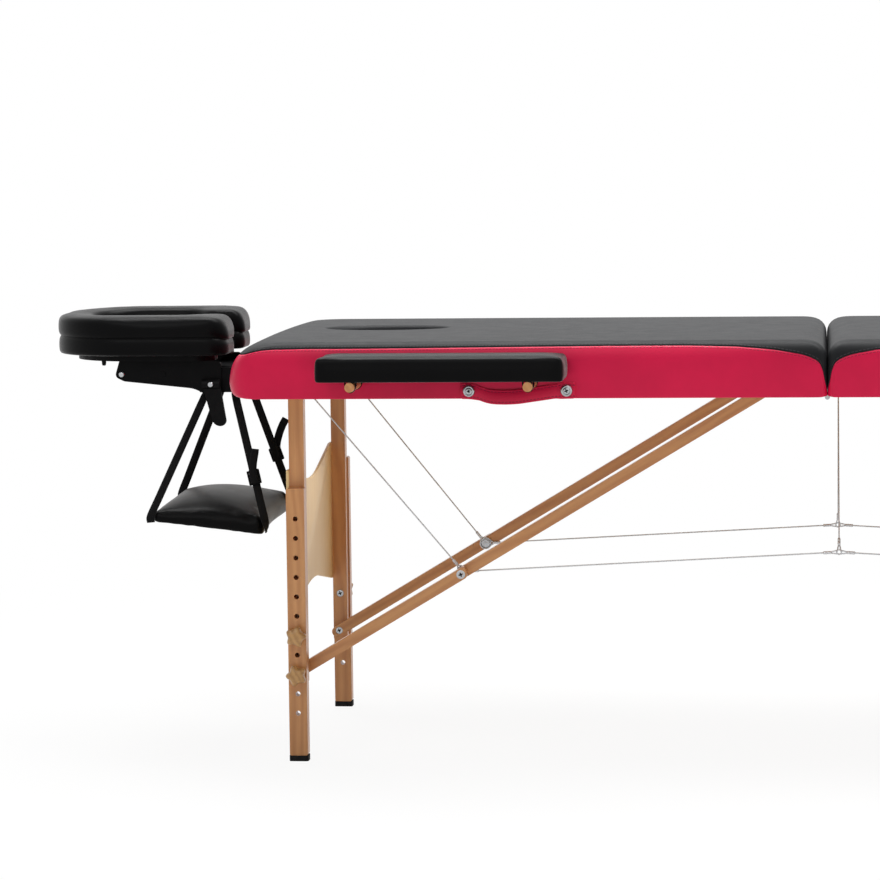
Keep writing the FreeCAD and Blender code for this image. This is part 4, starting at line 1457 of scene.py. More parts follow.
def rounded_outline(corners: Sequence[Tuple[float, float, float]], step: float) -> List[Edge]:
    """Places along a closed outline with rounded corners.

    Args:
        corners: (x, y, radius) of each corner, against the clock.
        step: The greatest distance between two places.

    Returns:
        Rows of (x, y, outward x, outward y).
    """
    arcs = []
    for i, (x, y, radius) in enumerate(corners):
        corner = Vector((x, y))
        back = Vector(corners[i - 1][:2]) - corner
        onward = Vector(corners[(i + 1) % len(corners)][:2]) - corner
        lean = math.tan(back.angle(onward) / 2)
        reach = min(radius / lean, 0.49 * min(back.length, onward.length))
        middle = (back.normalized() + onward.normalized()).normalized()
        centre = corner + middle * math.hypot(reach, reach * lean)
        ends = [corner + way.normalized() * reach for way in (back, onward)]
        arcs.append((*ends, centre, reach * lean))
    spots = []
    for i, (start, stop, centre, radius) in enumerate(arcs):
        first = math.atan2(*(start - centre).yx)
        sweep = (math.atan2(*(stop - centre).yx) - first + math.pi) % (2 * math.pi) - math.pi
        count = max(3, math.ceil(abs(sweep) * radius / step))
        for k in range(count):
            angle = first + sweep * k / count
            out = Vector((math.cos(angle), math.sin(angle)))
            spots.append((*(centre + out * radius), *(out if sweep > 0 else -out)))
        run = arcs[(i + 1) % len(arcs)][0] - stop
        count = max(1, math.ceil(run.length / step))
        for k in range(count):
            spots.append((*(stop + run * (k / count)), *Vector((run.y, -run.x)).normalized()))
    return spots


@dataclass
class SewnPad:
    """A stuffed pad in the place of its CAD solid: a rounded plan, sewn walls and a domed top."""

    name: str
    source: str
    body: str
    section: Tuple[Tuple[float, float, float], ...]
    crown: float
    fill: float
    cap: float = 1.6
    grid: float = 11.0
    pleat: float = 0.0

    def plan(self) -> List[Edge]:
        """The outline from above: places and outward directions."""
        raise NotImplementedError

    def low(self, x: float, y: float) -> float:
        """The underside's height."""
        raise NotImplementedError

    def high(self, x: float, y: float) -> float:
        """The height of the top's edge."""
        raise NotImplementedError

    def dome(self, x: float, y: float, gap: float) -> float:
        """How far the top rises above its edge, at a distance from it."""
        return self.crown * ease(gap / 30)

    def held(self, point: Vector) -> float:
        """How firmly a point stays put: the underside does."""
        x, y, z = point.x * 1000 - ORIGIN_SHIFT, point.y * 1000, point.z * 1000
        return 1 - ease((z - self.low(x, y) - 2) / 8)

    def walls(self, plan: Sequence[Edge]) -> List[Point]:
        """Rings of points from the underside over the walls to the top's edge.

        Args:
            plan: The outline from above.

        Returns:
            The points, ring by ring.
        """
        points = []
        for inset, share, extra in self.section:
            loose = self.pleat * max(0.0, 1 - share * 3)
            for x, y, out_x, out_y in plan:
                ripple = loose * noise.noise(Vector((x / 7, y / 7, 3.1)))
                p, q = x - out_x * (inset - ripple), y - out_y * (inset - ripple)
                low, high = self.low(p, q), self.high(p, q)
                z = low + (high - low) * share + extra + self.dome(p, q, inset) * share ** 2
                points.append((p, q, z + ripple * 0.7))
        return points

    def build(self) -> Piece:
        """Build the pad, swell it a little and dress it.

        Returns:
            The pad.
        """
        plan = self.plan()
        count = len(plan)
        points = self.walls(plan)
        faces = ring_faces(0, len(self.section), count)
        faces += spanned([list(range(count))], points, len(points))
        rim = list(range((len(self.section) - 1) * count, len(self.section) * count))
        edge = np.array([points[i][:2] for i in rim])
        outline = [tuple(p) for p in edge]
        first = len(points)
        deep = self.section[-1][0]
        for x in np.arange(edge[:, 0].min(), edge[:, 0].max(), self.grid):
            for y in np.arange(edge[:, 1].min(), edge[:, 1].max(), self.grid):
                gap = float(np.hypot(edge[:, 0] - x, edge[:, 1] - y).min())
                if gap > self.grid * 0.6 and in_polygon(Vector((x, y)), outline):
                    points.append((x, y, self.high(x, y) + self.dome(x, y, gap + deep)))
        faces += spanned([rim], points, first)
        obj = outward(add_object(self.name, [at(*p) for p in points], faces))
        swell(obj, self.held, self.cap)
        subdivided(obj)
        soften(wear(obj, "black_pad"), 80)
        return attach(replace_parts(obj, self.source), self.body)


@dataclass
class FaceCushion(SewnPad):
    """The horseshoe cushion: two sewn tiers, a flat top with a crisp edge and an opening for the face."""

    far: float = -1263.0
    near: float = -964.0
    half: float = 140.0
    slot: float = 36.0
    hole: float = 70.0
    band: float = 57.0
    nose: float = 128.0
    arm: float = 34.0
    bend: float = 20.0
    flow: float = 45.0
    base: float = 636.0
    tall: float = 64.0
    groove: float = 30.0
    lip: float = 24.0
    lean: float = 0.02

    def plan(self) -> List[Edge]:
        """The horseshoe, open towards the table.

        Returns:
            Places and outward directions.
        """
        inner = self.near - self.arm - self.bend
        flare = inner - (self.hole - self.slot)
        end = self.far + self.band
        lower = [
            (self.far, -self.half, self.nose), (self.near, -self.half, self.arm),
            (self.near, -self.slot, self.bend), (inner, -self.slot, self.flow),
            (flare, -self.hole, self.flow), (end, -self.hole, self.hole),
        ]
        return rounded_outline(lower + [(x, -y, r) for x, y, r in reversed(lower)], 6.0)

    def low(self, x: float, y: float) -> float:
        """The underside on the platform."""
        return self.base

    def high(self, x: float, y: float) -> float:
        """The top, leaning a little to the near side and rounded at the table's end."""
        past = min(self.lip, max(0.0, x - (self.near - self.lip)))
        return self.base + self.tall + self.lean * y - (self.lip - math.sqrt(self.lip ** 2 - past ** 2)) * 0.8

    def held(self, point: Vector) -> float:
        """The underside and the sewn groove stay put."""
        height = point.z * 1000 - self.base
        return max(1 - ease((height - 2) / 8), 1 - ease((abs(height - self.groove) - 1) / 7))


@dataclass
class SlingPad(SewnPad):
    """The arm shelf's pad, drawn up at its corners by the straps."""

    middle: float = -999.0
    half: Pair = (92.0, 140.0)
    pull: float = 6.0
    corner: float = 12.0
    lows: Tuple[Pair, ...] = ((367.0, 345.0), (372.0, 354.0))
    highs: Tuple[Pair, ...] = ((383.0, 373.0), (391.0, 387.0))

    def plan(self) -> List[Edge]:
        """A rectangle whose sides draw in between its corners.

        Returns:
            Places and outward directions.
        """
        wide, deep = self.half
        x0, x1 = self.middle - wide, self.middle + wide
        soft = [wide ** 2 / (4 * self.pull), deep ** 2 / (4 * self.pull)]
        corners = [
            (x0, -deep, self.corner), (self.middle, self.pull - deep, soft[0]), (x1, -deep, self.corner),
            (x1 - self.pull, 0, soft[1]), (x1, deep, self.corner), (self.middle, deep - self.pull, soft[0]),
            (x0, deep, self.corner), (x0 + self.pull, 0, soft[1]),
        ]
        return rounded_outline(corners, 6.0)

    def share(self, x: float, y: float) -> Pair:
        """The place between the corners, each way from -1 to 1."""
        u, v = (x - self.middle) / self.half[0], y / self.half[1]
        return min(1.0, max(-1.0, u)), min(1.0, max(-1.0, v))

    def between(self, x: float, y: float, rows: Sequence[Pair]) -> float:
        """A value given at the corners, blended over the pad.

        Args:
            x: The place along the table.
            y: The place across it.
            rows: Back and front values on the near side, then on the far side.

        Returns:
            The blend.
        """
        u, v = ((s + 1) / 2 for s in self.share(x, y))
        ends = [back * (1 - u) + front * u for back, front in rows]
        return ends[0] * (1 - v) + ends[1] * v

    def low(self, x: float, y: float) -> float:
        """The underside."""
        return self.between(x, y, self.lows)

    def high(self, x: float, y: float) -> float:
        """The edge of the top."""
        return self.between(x, y, self.highs)

    def dome(self, x: float, y: float, gap: float) -> float:
        """A pillow's swelling."""
        u, v = self.share(x, y)
        return self.crown * (1 - abs(u) ** 2.2) * (1 - abs(v) ** 2.6)


@dataclass
class ArmrestPad(SewnPad):
    """A long flat armrest pad with crisp edges."""

    side: Side = Side.NEAR
    ends: Pair = (-777.0, -397.0)
    reach: Pair = (343.0, 443.0)
    corner: float = 8.0
    base: float = 614.5
    tall: float = 37.0

    def plan(self) -> List[Edge]:
        """A rectangle with rounded corners.

        Returns:
            Places and outward directions.
        """
        low, high = sorted(self.side.value * reach for reach in self.reach)
        x0, x1 = self.ends
        corners = ((x0, low), (x1, low), (x1, high), (x0, high))
        return rounded_outline([(x, y, self.corner) for x, y in corners], 7.0)

    def low(self, x: float, y: float) -> float:
        """The underside on the dowels."""
        return self.base

    def high(self, x: float, y: float) -> float:
        """The edge of the top."""
        return self.base + self.tall


# Rows of a pad's section: inset from the plan, share of the height, and extra height in millimetres.
TIERS = (
    (14.0, 0.0, 0.0), (7.0, 0.0, 0.0), (3.6, 0.0, 0.9), (1.6, 0.0, 3.2), (0.8, 0.12, 0.0), (0.6, 0.23, 0.0),
    (0.9, 0.34, 0.0), (2.0, 0.42, 0.0), (3.6, 0.456, 0.0), (4.4, 0.469, 0.0), (3.4, 0.481, 0.0),
    (1.4, 0.52, 0.0), (0.2, 0.59, 0.0), (0.0, 0.7, 0.0), (0.2, 0.8, 0.0), (0.8, 0.88, 0.0), (2.4, 1.0, -3.9),
    (5.0, 1.0, -1.4), (8.6, 1.0, -0.3), (13.0, 1.0, 0.0),
)
PILLOW = (
    (10.0, 0.0, 0.0), (6.0, 0.0, 0.0), (3.0, 0.0, 0.3), (0.8, 0.14, 0.0), (0.0, 0.36, 0.0), (0.2, 0.58, 0.0),
    (1.4, 0.78, 0.0), (3.6, 0.93, 0.0), (6.6, 1.0, 0.0), (10.5, 1.0, 0.6),
)
CRISP = (
    (6.6, 0.0, 0.0), (4.0, 0.0, 0.0), (1.6, 0.0, 0.8), (0.4, 0.0, 3.0), (0.0, 0.25, 0.0), (0.0, 0.5, 0.0),
    (0.0, 0.72, 0.0), (0.4, 1.0, -4.8), (1.8, 1.0, -2.0), (4.2, 1.0, -0.5), (6.8, 1.0, 0.0),
)


def smooth_path(points: Sequence[Vector], per: int) -> List[Vector]:
    """A Catmull-Rom line through the points, with so many steps between each two.

    Args:
        points: The points.
        per: The number of steps.

    Returns:
        The line.
    """
    ends = [points[0] * 2 - points[1], *points, points[-1] * 2 - points[-2]]
    line = []
    for i in range(1, len(ends) - 2):
        a, b, c, d = ends[i - 1:i + 3]
        for step in range(per):
            t = step / per
            straight = 2 * b + (c - a) * t
            square, cube = 2 * a - 5 * b + 4 * c - d, 3 * b - a - 3 * c + d
            line.append(0.5 * (straight + square * t ** 2 + cube * t ** 3))
    return line + [points[-1].copy()]


def tangents(line: Sequence[Vector]) -> List[Vector]:
    """The direction of a line at each of its points."""
    last = len(line) - 1
    return [(line[min(last, i + 1)] - line[max(0, i - 1)]).normalized() for i in range(last + 1)]


def ribbon(
    name: str, line: Sequence[Vector], aside: Vector, width: float, thick: float,
    last: Optional[Vector] = None,
) -> Piece:
    """A flat woven strap along a line.

    Args:
        name: The piece's name.
        line: The strap's middle, in metres.
        aside: Roughly the direction of its width.
        width: Its width in millimetres.
        thick: Its thickness in millimetres.
        last: The direction that its width twists to near the end.

    Returns:
        The strap with its thread map.
    """
    half, deep = width / 2000, thick / 2000
    edge = ((-1, 0.4), (-0.94, 1), (-0.4, 1.1), (0.4, 1.1), (0.94, 1), (1, 0.4))
    profile = [(half * p, -deep * q) for p, q in edge] + [(half * p, deep * q) for p, q in reversed(edge)]
    count = len(profile)
    rings = []
    runs = [0.0]
    for i, (point, ahead) in enumerate(zip(line, tangents(line))):
        twist = ease((i / (len(line) - 1) - 0.72) / 0.26)
        normal = ahead.cross(aside.lerp(last or aside, twist)).normalized()
        across = normal.cross(ahead)
        rings.append([point + across * p + normal * q for p, q in profile])
        if i:
            runs.append(runs[-1] + (point - line[i - 1]).length)
    obj = loft(name, rings)
    layer = obj.data.uv_layers.new(name="threads")
    for polygon in obj.data.polygons:
        for loop, v in zip(polygon.loop_indices, polygon.vertices):
            layer.data[loop].uv = (profile[v % count][0], runs[v // count])
    return wear(soften(obj, 60), "strap_black")


def block(name: str, centre: Vector, axes: Sequence[Vector], size: Point, round_edge: float) -> Piece:
    """A small moulded bar with rounded edges.

    Args:
        name: The piece's name.
        centre: Its middle.
        axes: Its three directions.
        size: Its lengths along them, in millimetres.
        round_edge: The radius of its edges.

    Returns:
        The bar.
    """
    rings = []
    for s in (-1, 1):
        ring = []
        for p, q in ((-1, -1), (1, -1), (1, 1), (-1, 1)):
            corner = axes[0] * (s * size[0]) + axes[1] * (p * size[1]) + axes[2] * (q * size[2])
            ring.append(centre + corner / 2000)
        rings.append(ring)
    return settle(bevelled(loft(name, rings), round_edge, 3))


@dataclass
class ArmSling:
    """The hanging arm shelf: stuffed pad, four webbing straps and two ladder-lock buckles."""

    base_z: float = 575.0
    edge_y: float = 139.0
    corner_z: Tuple[Pair, ...] = ((377.0, 361.0), (385.0, 378.0))
    top_y: float = 80.0
    strap_width: float = 13.0
    strap_thick: float = 1.8
    runs: Tuple[Tuple[str, float, float], ...] = (("back", -1008.0, -1092.0), ("front", -960.5, -903.0))
    screw: Tuple[Pair, ...] = ((5.4, 0.0), (5.2, 0.8), (3.6, 1.9), (0.6, 2.3))
    # Each buckle's side, its share of the strap's length, and its loose end's points in millimetres.
    buckle_rows: Tuple[Tuple[Side, float, Tuple[Point, ...]], ...] = (
        (Side.FAR, 0.62, ((10, 3, 0), (-12, 6, 4), (-32, 9, 14), (-50, 11, 26), (-62, 12, 36))),
        (Side.NEAR, 0.64, ((10, 3, 0), (-8, 6, 1), (-22, 8, 5), (-36, 7, 10), (-47, 8, 14))),
    )
    buckle_half: float = 8.8
    bars: Tuple[Pair, ...] = ((-10.4, 5.4), (-3.4, 4.2), (4.2, 4.2), (10.2, 6.4))

    def strap_ends(self, side: Side, top_x: float, low_x: float) -> Tuple[Vector, Vector]:
        """Where a strap leaves the base and where it reaches the pad.

        Args:
            side: The side it hangs on.
            top_x: Its place on the base.
            low_x: Its place on the pad.

        Returns:
            Both ends, in metres.
        """
        top = at(top_x, side.value * self.top_y, self.base_z - 3)
        heights = self.corner_z[0 if side == Side.NEAR else 1]
        low = at(low_x, side.value * self.edge_y, heights[0 if low_x < top_x else 1])
        return top, low

    def straps(self) -> None:
        """Four straps, screwed under the base and sewn to the pad's sides."""
        for side in Side:
            for label, top_x, low_x in self.runs:
                top, low = self.strap_ends(side, top_x, low_x)
                inner = at(top_x, side.value * (self.top_y - 24), self.base_z - 1.6)
                bend = at(top_x, side.value * (self.top_y - 5), self.base_z - 1.8)
                foot = low - Vector((0, 0, 0.011))
                shares = (0.06, 0.2, 0.5, 0.7, 0.85)
                line = smooth_path([inner, bend, *(top.lerp(low, t) for t in shares), low, foot], 7)
                aside = Vector((1, 0, 0.35))
                last = Vector((0, 1, 0)) if label == "front" else aside
                name = f"{label}_{side.prefix}"
                strap = ribbon("sling_strap_" + name, line, aside, self.strap_width, self.strap_thick, last)
                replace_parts(strap, "sling_straps")
                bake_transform(strap)
                spot = at(top_x, side.value * (self.top_y - 15), self.base_z - 2.4)
                screw = turned("strap_screw_" + name, spot, Vector((0, 0, -1)), self.screw, 20)
                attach(soften(wear(screw, "plated")), "headrest_mount")

    def buckles(self) -> None:
        """Ladder-lock buckles on the front straps, with the loose strap ends."""
        _, top_x, low_x = self.runs[1]
        for side, share, hang in self.buckle_rows:
            top, low = self.strap_ends(side, top_x, low_x)
            along = (low - top).normalized()
            face = Vector((0, side.value, 0))
            face = (face - along * face.dot(along)).normalized()
            across = along.cross(face).normalized()
            middle = top.lerp(low, share) + face * 0.0042
            axes = (along, face, across)
            name = f"sling_buckle_{side.prefix}"
            out = across * (self.buckle_half / 1000)
            parts = [block(name, middle + out, axes, (24, 5.0, 3.0), 1.2)]
            parts.append(block(name + "_b", middle - out, axes, (24, 5.0, 3.0), 1.2))
            for i, (shift, deep) in enumerate(self.bars):
                centre = middle + along * (shift / 1000)
                parts.append(block(f"{name}_{i}", centre, axes, (3.4, deep, 19), 1.1))
            buckle = soften(wear(joined(*parts), "black_nylon"), 35)
            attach(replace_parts(buckle, "sling_buckles"), "arm_sling")
            points = [middle + (along * p + face * q + Vector((r, 0, 0))) / 1000 for p, q, r in hang]
            line = smooth_path(points, 6)
            tail = ribbon(f"sling_tail_{side.prefix}", line, across, self.strap_width, self.strap_thick)
            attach(tail, "arm_sling")

    def build(self) -> None:
        """Build the whole sling."""
        pad = SlingPad("sling_cushion", "sling_pad", "arm_sling", PILLOW, 22.0, 0.7, cap=2.5, pleat=2.4)
        pad.build()
        self.straps()
        self.buckles()


@dataclass
class CarryHandle:
    """A flat padded carry strap, sewn along its edges and hung slack between two cup-washer screws."""

    half: Half
    outer: float = 549.8
    inner: float = 398.8
    span: float = 151.0
    tail: float = 14.0
    half_tall: float = 11.5
    level: float = 594.0
    face: float = -340.9
    steps: int = 84
    sag: Tuple[Pair, ...] = (
        (-14, 594), (0, 594), (12, 592.5), (24, 587), (38, 584.4), (58, 584), (76, 584.8), (98, 588),
        (118, 590.8), (136, 593.4), (151, 594), (165, 594),
    )
    section: Tuple[Pair, ...] = (
        (-1, 0.5), (-0.93, 1.4), (-0.8, 1.9), (-0.72, 1.45), (-0.6, 2.1), (-0.25, 2.7), (0.25, 2.7),
        (0.6, 2.1), (0.72, 1.45), (0.8, 1.9), (0.93, 1.4), (1, 0.5), (1, -0.2), (0.5, -0.5), (-0.5, -0.5),
        (-1, -0.2),
    )
    cup: Tuple[Pair, ...] = ((9.4, 0.0), (9.2, 1.6), (8.5, 3.5), (7.0, 4.3), (5.7, 4.0), (5.2, 3.4))
    head: Tuple[Pair, ...] = ((5.3, 3.2), (5.2, 4.0), (4.4, 4.7), (3.9, 4.9))

    def rings(self, steps: Sequence[float]) -> List[List[Vector]]:
        """Sections of the strap from its outer end to its inner one.

        Args:
            steps: Distances from the outer screw.

        Returns:
            One ring of points for each step.
        """
        sign = self.half.value
        levels = np.interp(steps, *zip(*self.sag))
        levels = np.convolve(np.pad(levels, 3, mode="edge"), np.ones(7) / 7, mode="valid")
        rings = []
        for step, level in zip(steps, levels):
            edge = min(step + self.tail, self.span + self.tail - step)
            screw = min(abs(step), abs(step - self.span))
            tall = self.half_tall + 1.3 * (1 - ease((screw - 8) / 10))
            tall *= 1 - 0.1 * (1 - ease(edge / 2.5))
            slack = 3.0 * math.sin(math.pi * min(1.0, max(0.0, (step - 12) / 127)))
            crease = 0.7 * noise.noise(Vector((step / 17, 0.4, 2.2 + sign)))
            ring = []
            for v, deep in self.section:
                fold = crease * v * 0.5 if deep > 1 else 0.0
                y = self.face - slack * (0.65 - 0.35 * v) - deep - fold
                ring.append(at(sign * (self.outer - step), y, level + v * tall))
            rings.append(ring)
        return rings

    def build(self) -> None:
        """Build the strap and its two screws."""
        sign = self.half.value
        prefix = self.half.prefix
        steps = np.linspace(-self.tail, self.span + self.tail, self.steps)
        obj = loft(prefix + "_carry_handle", self.rings(steps))
        layer = obj.data.uv_layers.new(name="seam")
        count = len(self.section)
        for polygon in obj.data.polygons:
            for loop, v in zip(polygon.loop_indices, polygon.vertices):
                across, deep = self.section[v % count]
                gap = (1 - abs(across)) * self.half_tall - 0.4
                layer.data[loop].uv = (steps[v // count] / 1000, gap / 1000 if deep > 0 else 0.2)
        wear(obj, "pink_strap")
        subdivided(obj)
        soften(obj, 75)
        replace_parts(obj, prefix + "_handle")
        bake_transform(obj)
        out = Vector((0, -1, 0))
        for label, a in (("outer", self.outer), ("inner", self.inner)):
            name = f"{prefix}_{label}"
            rim = at(sign * a, self.face - 3.2, self.level)
            cup = turned(name + "_cup_washer", rim, out, self.cup, 36)
            head = cross_screw(name + "_handle_screw", rim, out, self.head, 3.0, 0.7)
            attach(soften(wear(cup, "plated"), 35), prefix + "_top")
            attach(head, prefix + "_top")


@dataclass
class LegPanel:
    """The plywood panel across a pair of legs: dipped above, arched below, with eased edges."""

    half: Half
    outer: float = 852.0
    thick: float = 5.0
    hem: float = 228.0
    crest: float = 462.0
    side: float = 249.0
    arch: float = 36.0
    dip: float = 44.0
    eased: Tuple[Pair, ...] = ((0.0, 0.7), (0.25, 0.2), (0.7, 0.0))

    def build(self) -> None:
        """Build the panel."""
        right = [
            (0.0, self.hem + self.arch, 500.0), (225.0, self.hem, 40.0), (self.side, self.hem, 3.0),
            (self.side, self.crest, 3.0), (222.0, self.crest, 60.0), (0.0, self.crest - self.dip, 420.0),
        ]
        left = [(-y, z, r) for y, z, r in reversed(right[1:-1])]
        outline = rounded_outline(right + left, 7.0)
        rings = []
        back = [(self.thick - deep, inset) for deep, inset in reversed(self.eased)]
        for deep, inset in (*self.eased, *back):
            x = self.half.value * (self.outer - deep)
            rings.append([at(x, y - out_y * inset, z - out_z * inset) for y, z, out_y, out_z in outline])
        panel = loft(self.half.prefix + "_plywood_panel", rings)
        soften(wear(panel, "plywood_panel"), 50)
        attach(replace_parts(panel, self.half.prefix + "_leg_panel"), self.half.prefix + "_leg_frame")


@dataclass
class StarKnob:
    """A turned and lobed wooden clamping knob."""

    half: Half
    side: Side
    level: Level
    a: float = LEG_X
    face: float = 271.6
    lobes: int = 5
    profile: Tuple[Pair, ...] = (
        (8.6, 0.0), (9.5, 0.6), (9.7, 3.6), (12.0, 4.9), (15.6, 6.4), (17.0, 9.0), (17.4, 12.5), (16.9, 16.5),
        (14.9, 19.8), (11.0, 22.2), (6.0, 23.5), (1.2, 24.0),
    )

    def lobed(self, radius: float, angle: float) -> float:
        """The radius with its lobes.

        Args:
            radius: The turned radius.
            angle: The angle round the axis.

        Returns:
            The radius there.
        """
        cut = 0.27 * ease((radius - 8) / 6)
        turn = math.radians(20 if self.level == Level.LOWER else -14)
        wave = 0.5 - 0.5 * math.cos(self.lobes * (angle - math.pi / 2 - turn))
        return radius * (1 - cut * wave ** 0.8)

    def build(self) -> None:
        """Build the knob."""
        prefix = f"{self.half.prefix}_{self.side.prefix}_{self.level.prefix}"
        centre = at(self.half.value * self.a, self.side.value * self.face, self.level.value)
        out = Vector((0, self.side.value, 0))
        knob = turned(prefix + "_turned_knob", centre, out, self.profile, 60, self.lobed)
        subdivided(knob)
        soften(wear(knob, "turned_knob"), 60)
        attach(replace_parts(knob, prefix + "_knob"), prefix + "_star_knob")


@dataclass
class Cables:
    """Steel bracing ropes with pressed sleeves and eyes round the bolts."""

    pivot: Point = (LEG_X, 224.0, 605.0)
    knee: Point = (KNEE_X, 187.4, KNEE_Z)
    middle: Point = (18.0, 187.4, 325.0)
    eye: Point = (18.0, 3.5, 581.0)
    rope: float = 1.1
    sleeve: float = 2.4
    lay: float = 15.0

    def tube(self, name: str, line: Sequence[Vector], radius: float, count: int, strands: int) -> Piece:
        """A round or stranded tube along a line.

        Args:
            name: The piece's name.
            line: Its middle, in metres.
            radius: Its radius.
            count: Points round it.
            strands: Strands that show, or 0 for a round tube.

        Returns:
            The tube.
        """
        ahead = tangents(line)
        side = ahead[0].orthogonal().normalized()
        rings = []
        run = 0.0
        for i, (point, way) in enumerate(zip(line, ahead)):
            side = (side - way * side.dot(way)).normalized()
            up = way.cross(side)
            if i:
                run += (point - line[i - 1]).length * 1000
            twist = 2 * math.pi * run / self.lay if strands else 0.0
            ring = []
            for k in range(count):
                angle = 2 * math.pi * k / count
                size = radius * (1 + (0.13 * math.cos(strands * angle) if strands else 0.0)) / 1000
                ring.append(point + (side * math.cos(angle + twist) + up * math.sin(angle + twist)) * size)
            rings.append(ring)
        return loft(name, rings)

    def eye_loop(self, centre: Vector, away: Vector, radius: float, shift: float) -> List[Vector]:
        """A drop-shaped loop round a bolt along Y, closed in the sleeve away from it.

        Args:
            centre: The bolt's middle.
            away: The direction of the rope.
            radius: The loop's radius.
            shift: How far the loop lies along the bolt.

        Returns:
            The loop's line.
        """
        flat = Vector((away.x, 0, away.z)).normalized()
        aside = Vector((-flat.z, 0, flat.x))
        points = [centre + away * 0.0125 + aside * 0.0010]
        for degrees in range(55, 306, 25):
            turn = math.radians(degrees)
            out = flat * math.cos(turn) + aside * math.sin(turn)
            points.append(centre + Vector((0, shift / 1000, 0)) + out * (radius / 1000))
        points.append(centre + away * 0.0125 - aside * 0.0010)
        return smooth_path(points, 3)

    def fixing(self, name: str, spot: Vector, way: Vector, radius: float, shift: float) -> List[Piece]:
        """A pressed sleeve and the eye round its bolt.

        Args:
            name: The start of their names.
            spot: The bolt's middle.
            way: The direction of the rope.
            radius: The eye's radius.
            shift: How far the eye lies along the bolt.

        Returns:
            Both pieces.
        """
        shape = [
            (self.rope, 0.0), (self.sleeve - 0.3, 0.2), (self.sleeve, 0.9), (self.sleeve, 5.6),
            (self.sleeve * 0.9, 6.2), (self.sleeve, 6.9), (self.sleeve, 12.0), (self.sleeve - 0.4, 12.8),
            (self.rope, 13.0),
        ]
        sleeve = turned(name + "_sleeve", spot + way * 0.0122, way, shape, 18)
        return [sleeve, self.tube(name + "_eye", self.eye_loop(spot, way, radius, shift), self.rope, 10, 0)]

    def finished(self, pieces: Sequence[Piece]) -> Piece:
        """Pieces of rope made one and dressed."""
        return soften(wear(joined(*pieces), "rope_wire"), 60)

    def run(
        self, name: str, start: Vector, end: Vector, radii: Pair, shift: float, both: bool = True
    ) -> Piece:
        """One rope between two fixings.

        Args:
            name: The piece's name.
            start: The first fixing.
            end: The second fixing.
            radii: The eye's radius at each.
            shift: How far the eyes lie to one side of the bolt's middle, in millimetres.
            both: Whether the first fixing is part of the piece.

        Returns:
            Rope, sleeves and eyes as one piece.
        """
        away = (end - start).normalized()
        long = (end - start).length
        pieces = []
        first, last = 0.012, long - 0.012
        steps = max(2, int((last - first) / 0.0022))
        line = [start + away * (first + (last - first) * i / steps) for i in range(steps + 1)]
        pieces.append(self.tube(name, line, self.rope, 12, 6))
        if both:
            pieces += self.fixing(name + "_first", start, away, radii[0], shift)
        pieces += self.fixing(name + "_last", end, -away, radii[1], shift)
        return self.finished(pieces)

    def build(self) -> None:
        """Build stays, spans and the centre drops."""
        for side in Side:
            middle = at(self.middle[0], side.value * self.middle[1], self.middle[2])
            for half in Half:
                prefix = half.prefix
                knee = at(half.value * self.knee[0], side.value * self.knee[1], self.knee[2])
                pivot = at(half.value * self.pivot[0], side.value * self.pivot[1], self.pivot[2])
                stay = self.run(f"{prefix}_{side.prefix}_stay", pivot, knee, (8.8, 8.6), 1.2 * side.value)
                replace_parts(stay, prefix + "_stay_cables")
                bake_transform(stay)
                name = f"{prefix}_{side.prefix}_span"
                span = self.run(name, knee, middle, (8.6, 3.6), -1.3 * side.value, both=False)
                away = (middle - knee).normalized()
                held = self.finished(self.fixing(name + "_knee", knee, away, 9.3, -1.3 * side.value))
                for piece in (span, held):
                    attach(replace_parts(piece, prefix + "_span_cables"), prefix + "_span")
                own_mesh(span)
            eye = at(self.eye[0], side.value * self.eye[1], self.eye[2] - 1.5)
            drop = self.run(f"{side.prefix}_centre_drop", eye, middle, (3.2, 3.6), 0.0)
            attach(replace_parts(drop, "centre_cable"), "centre_drop")


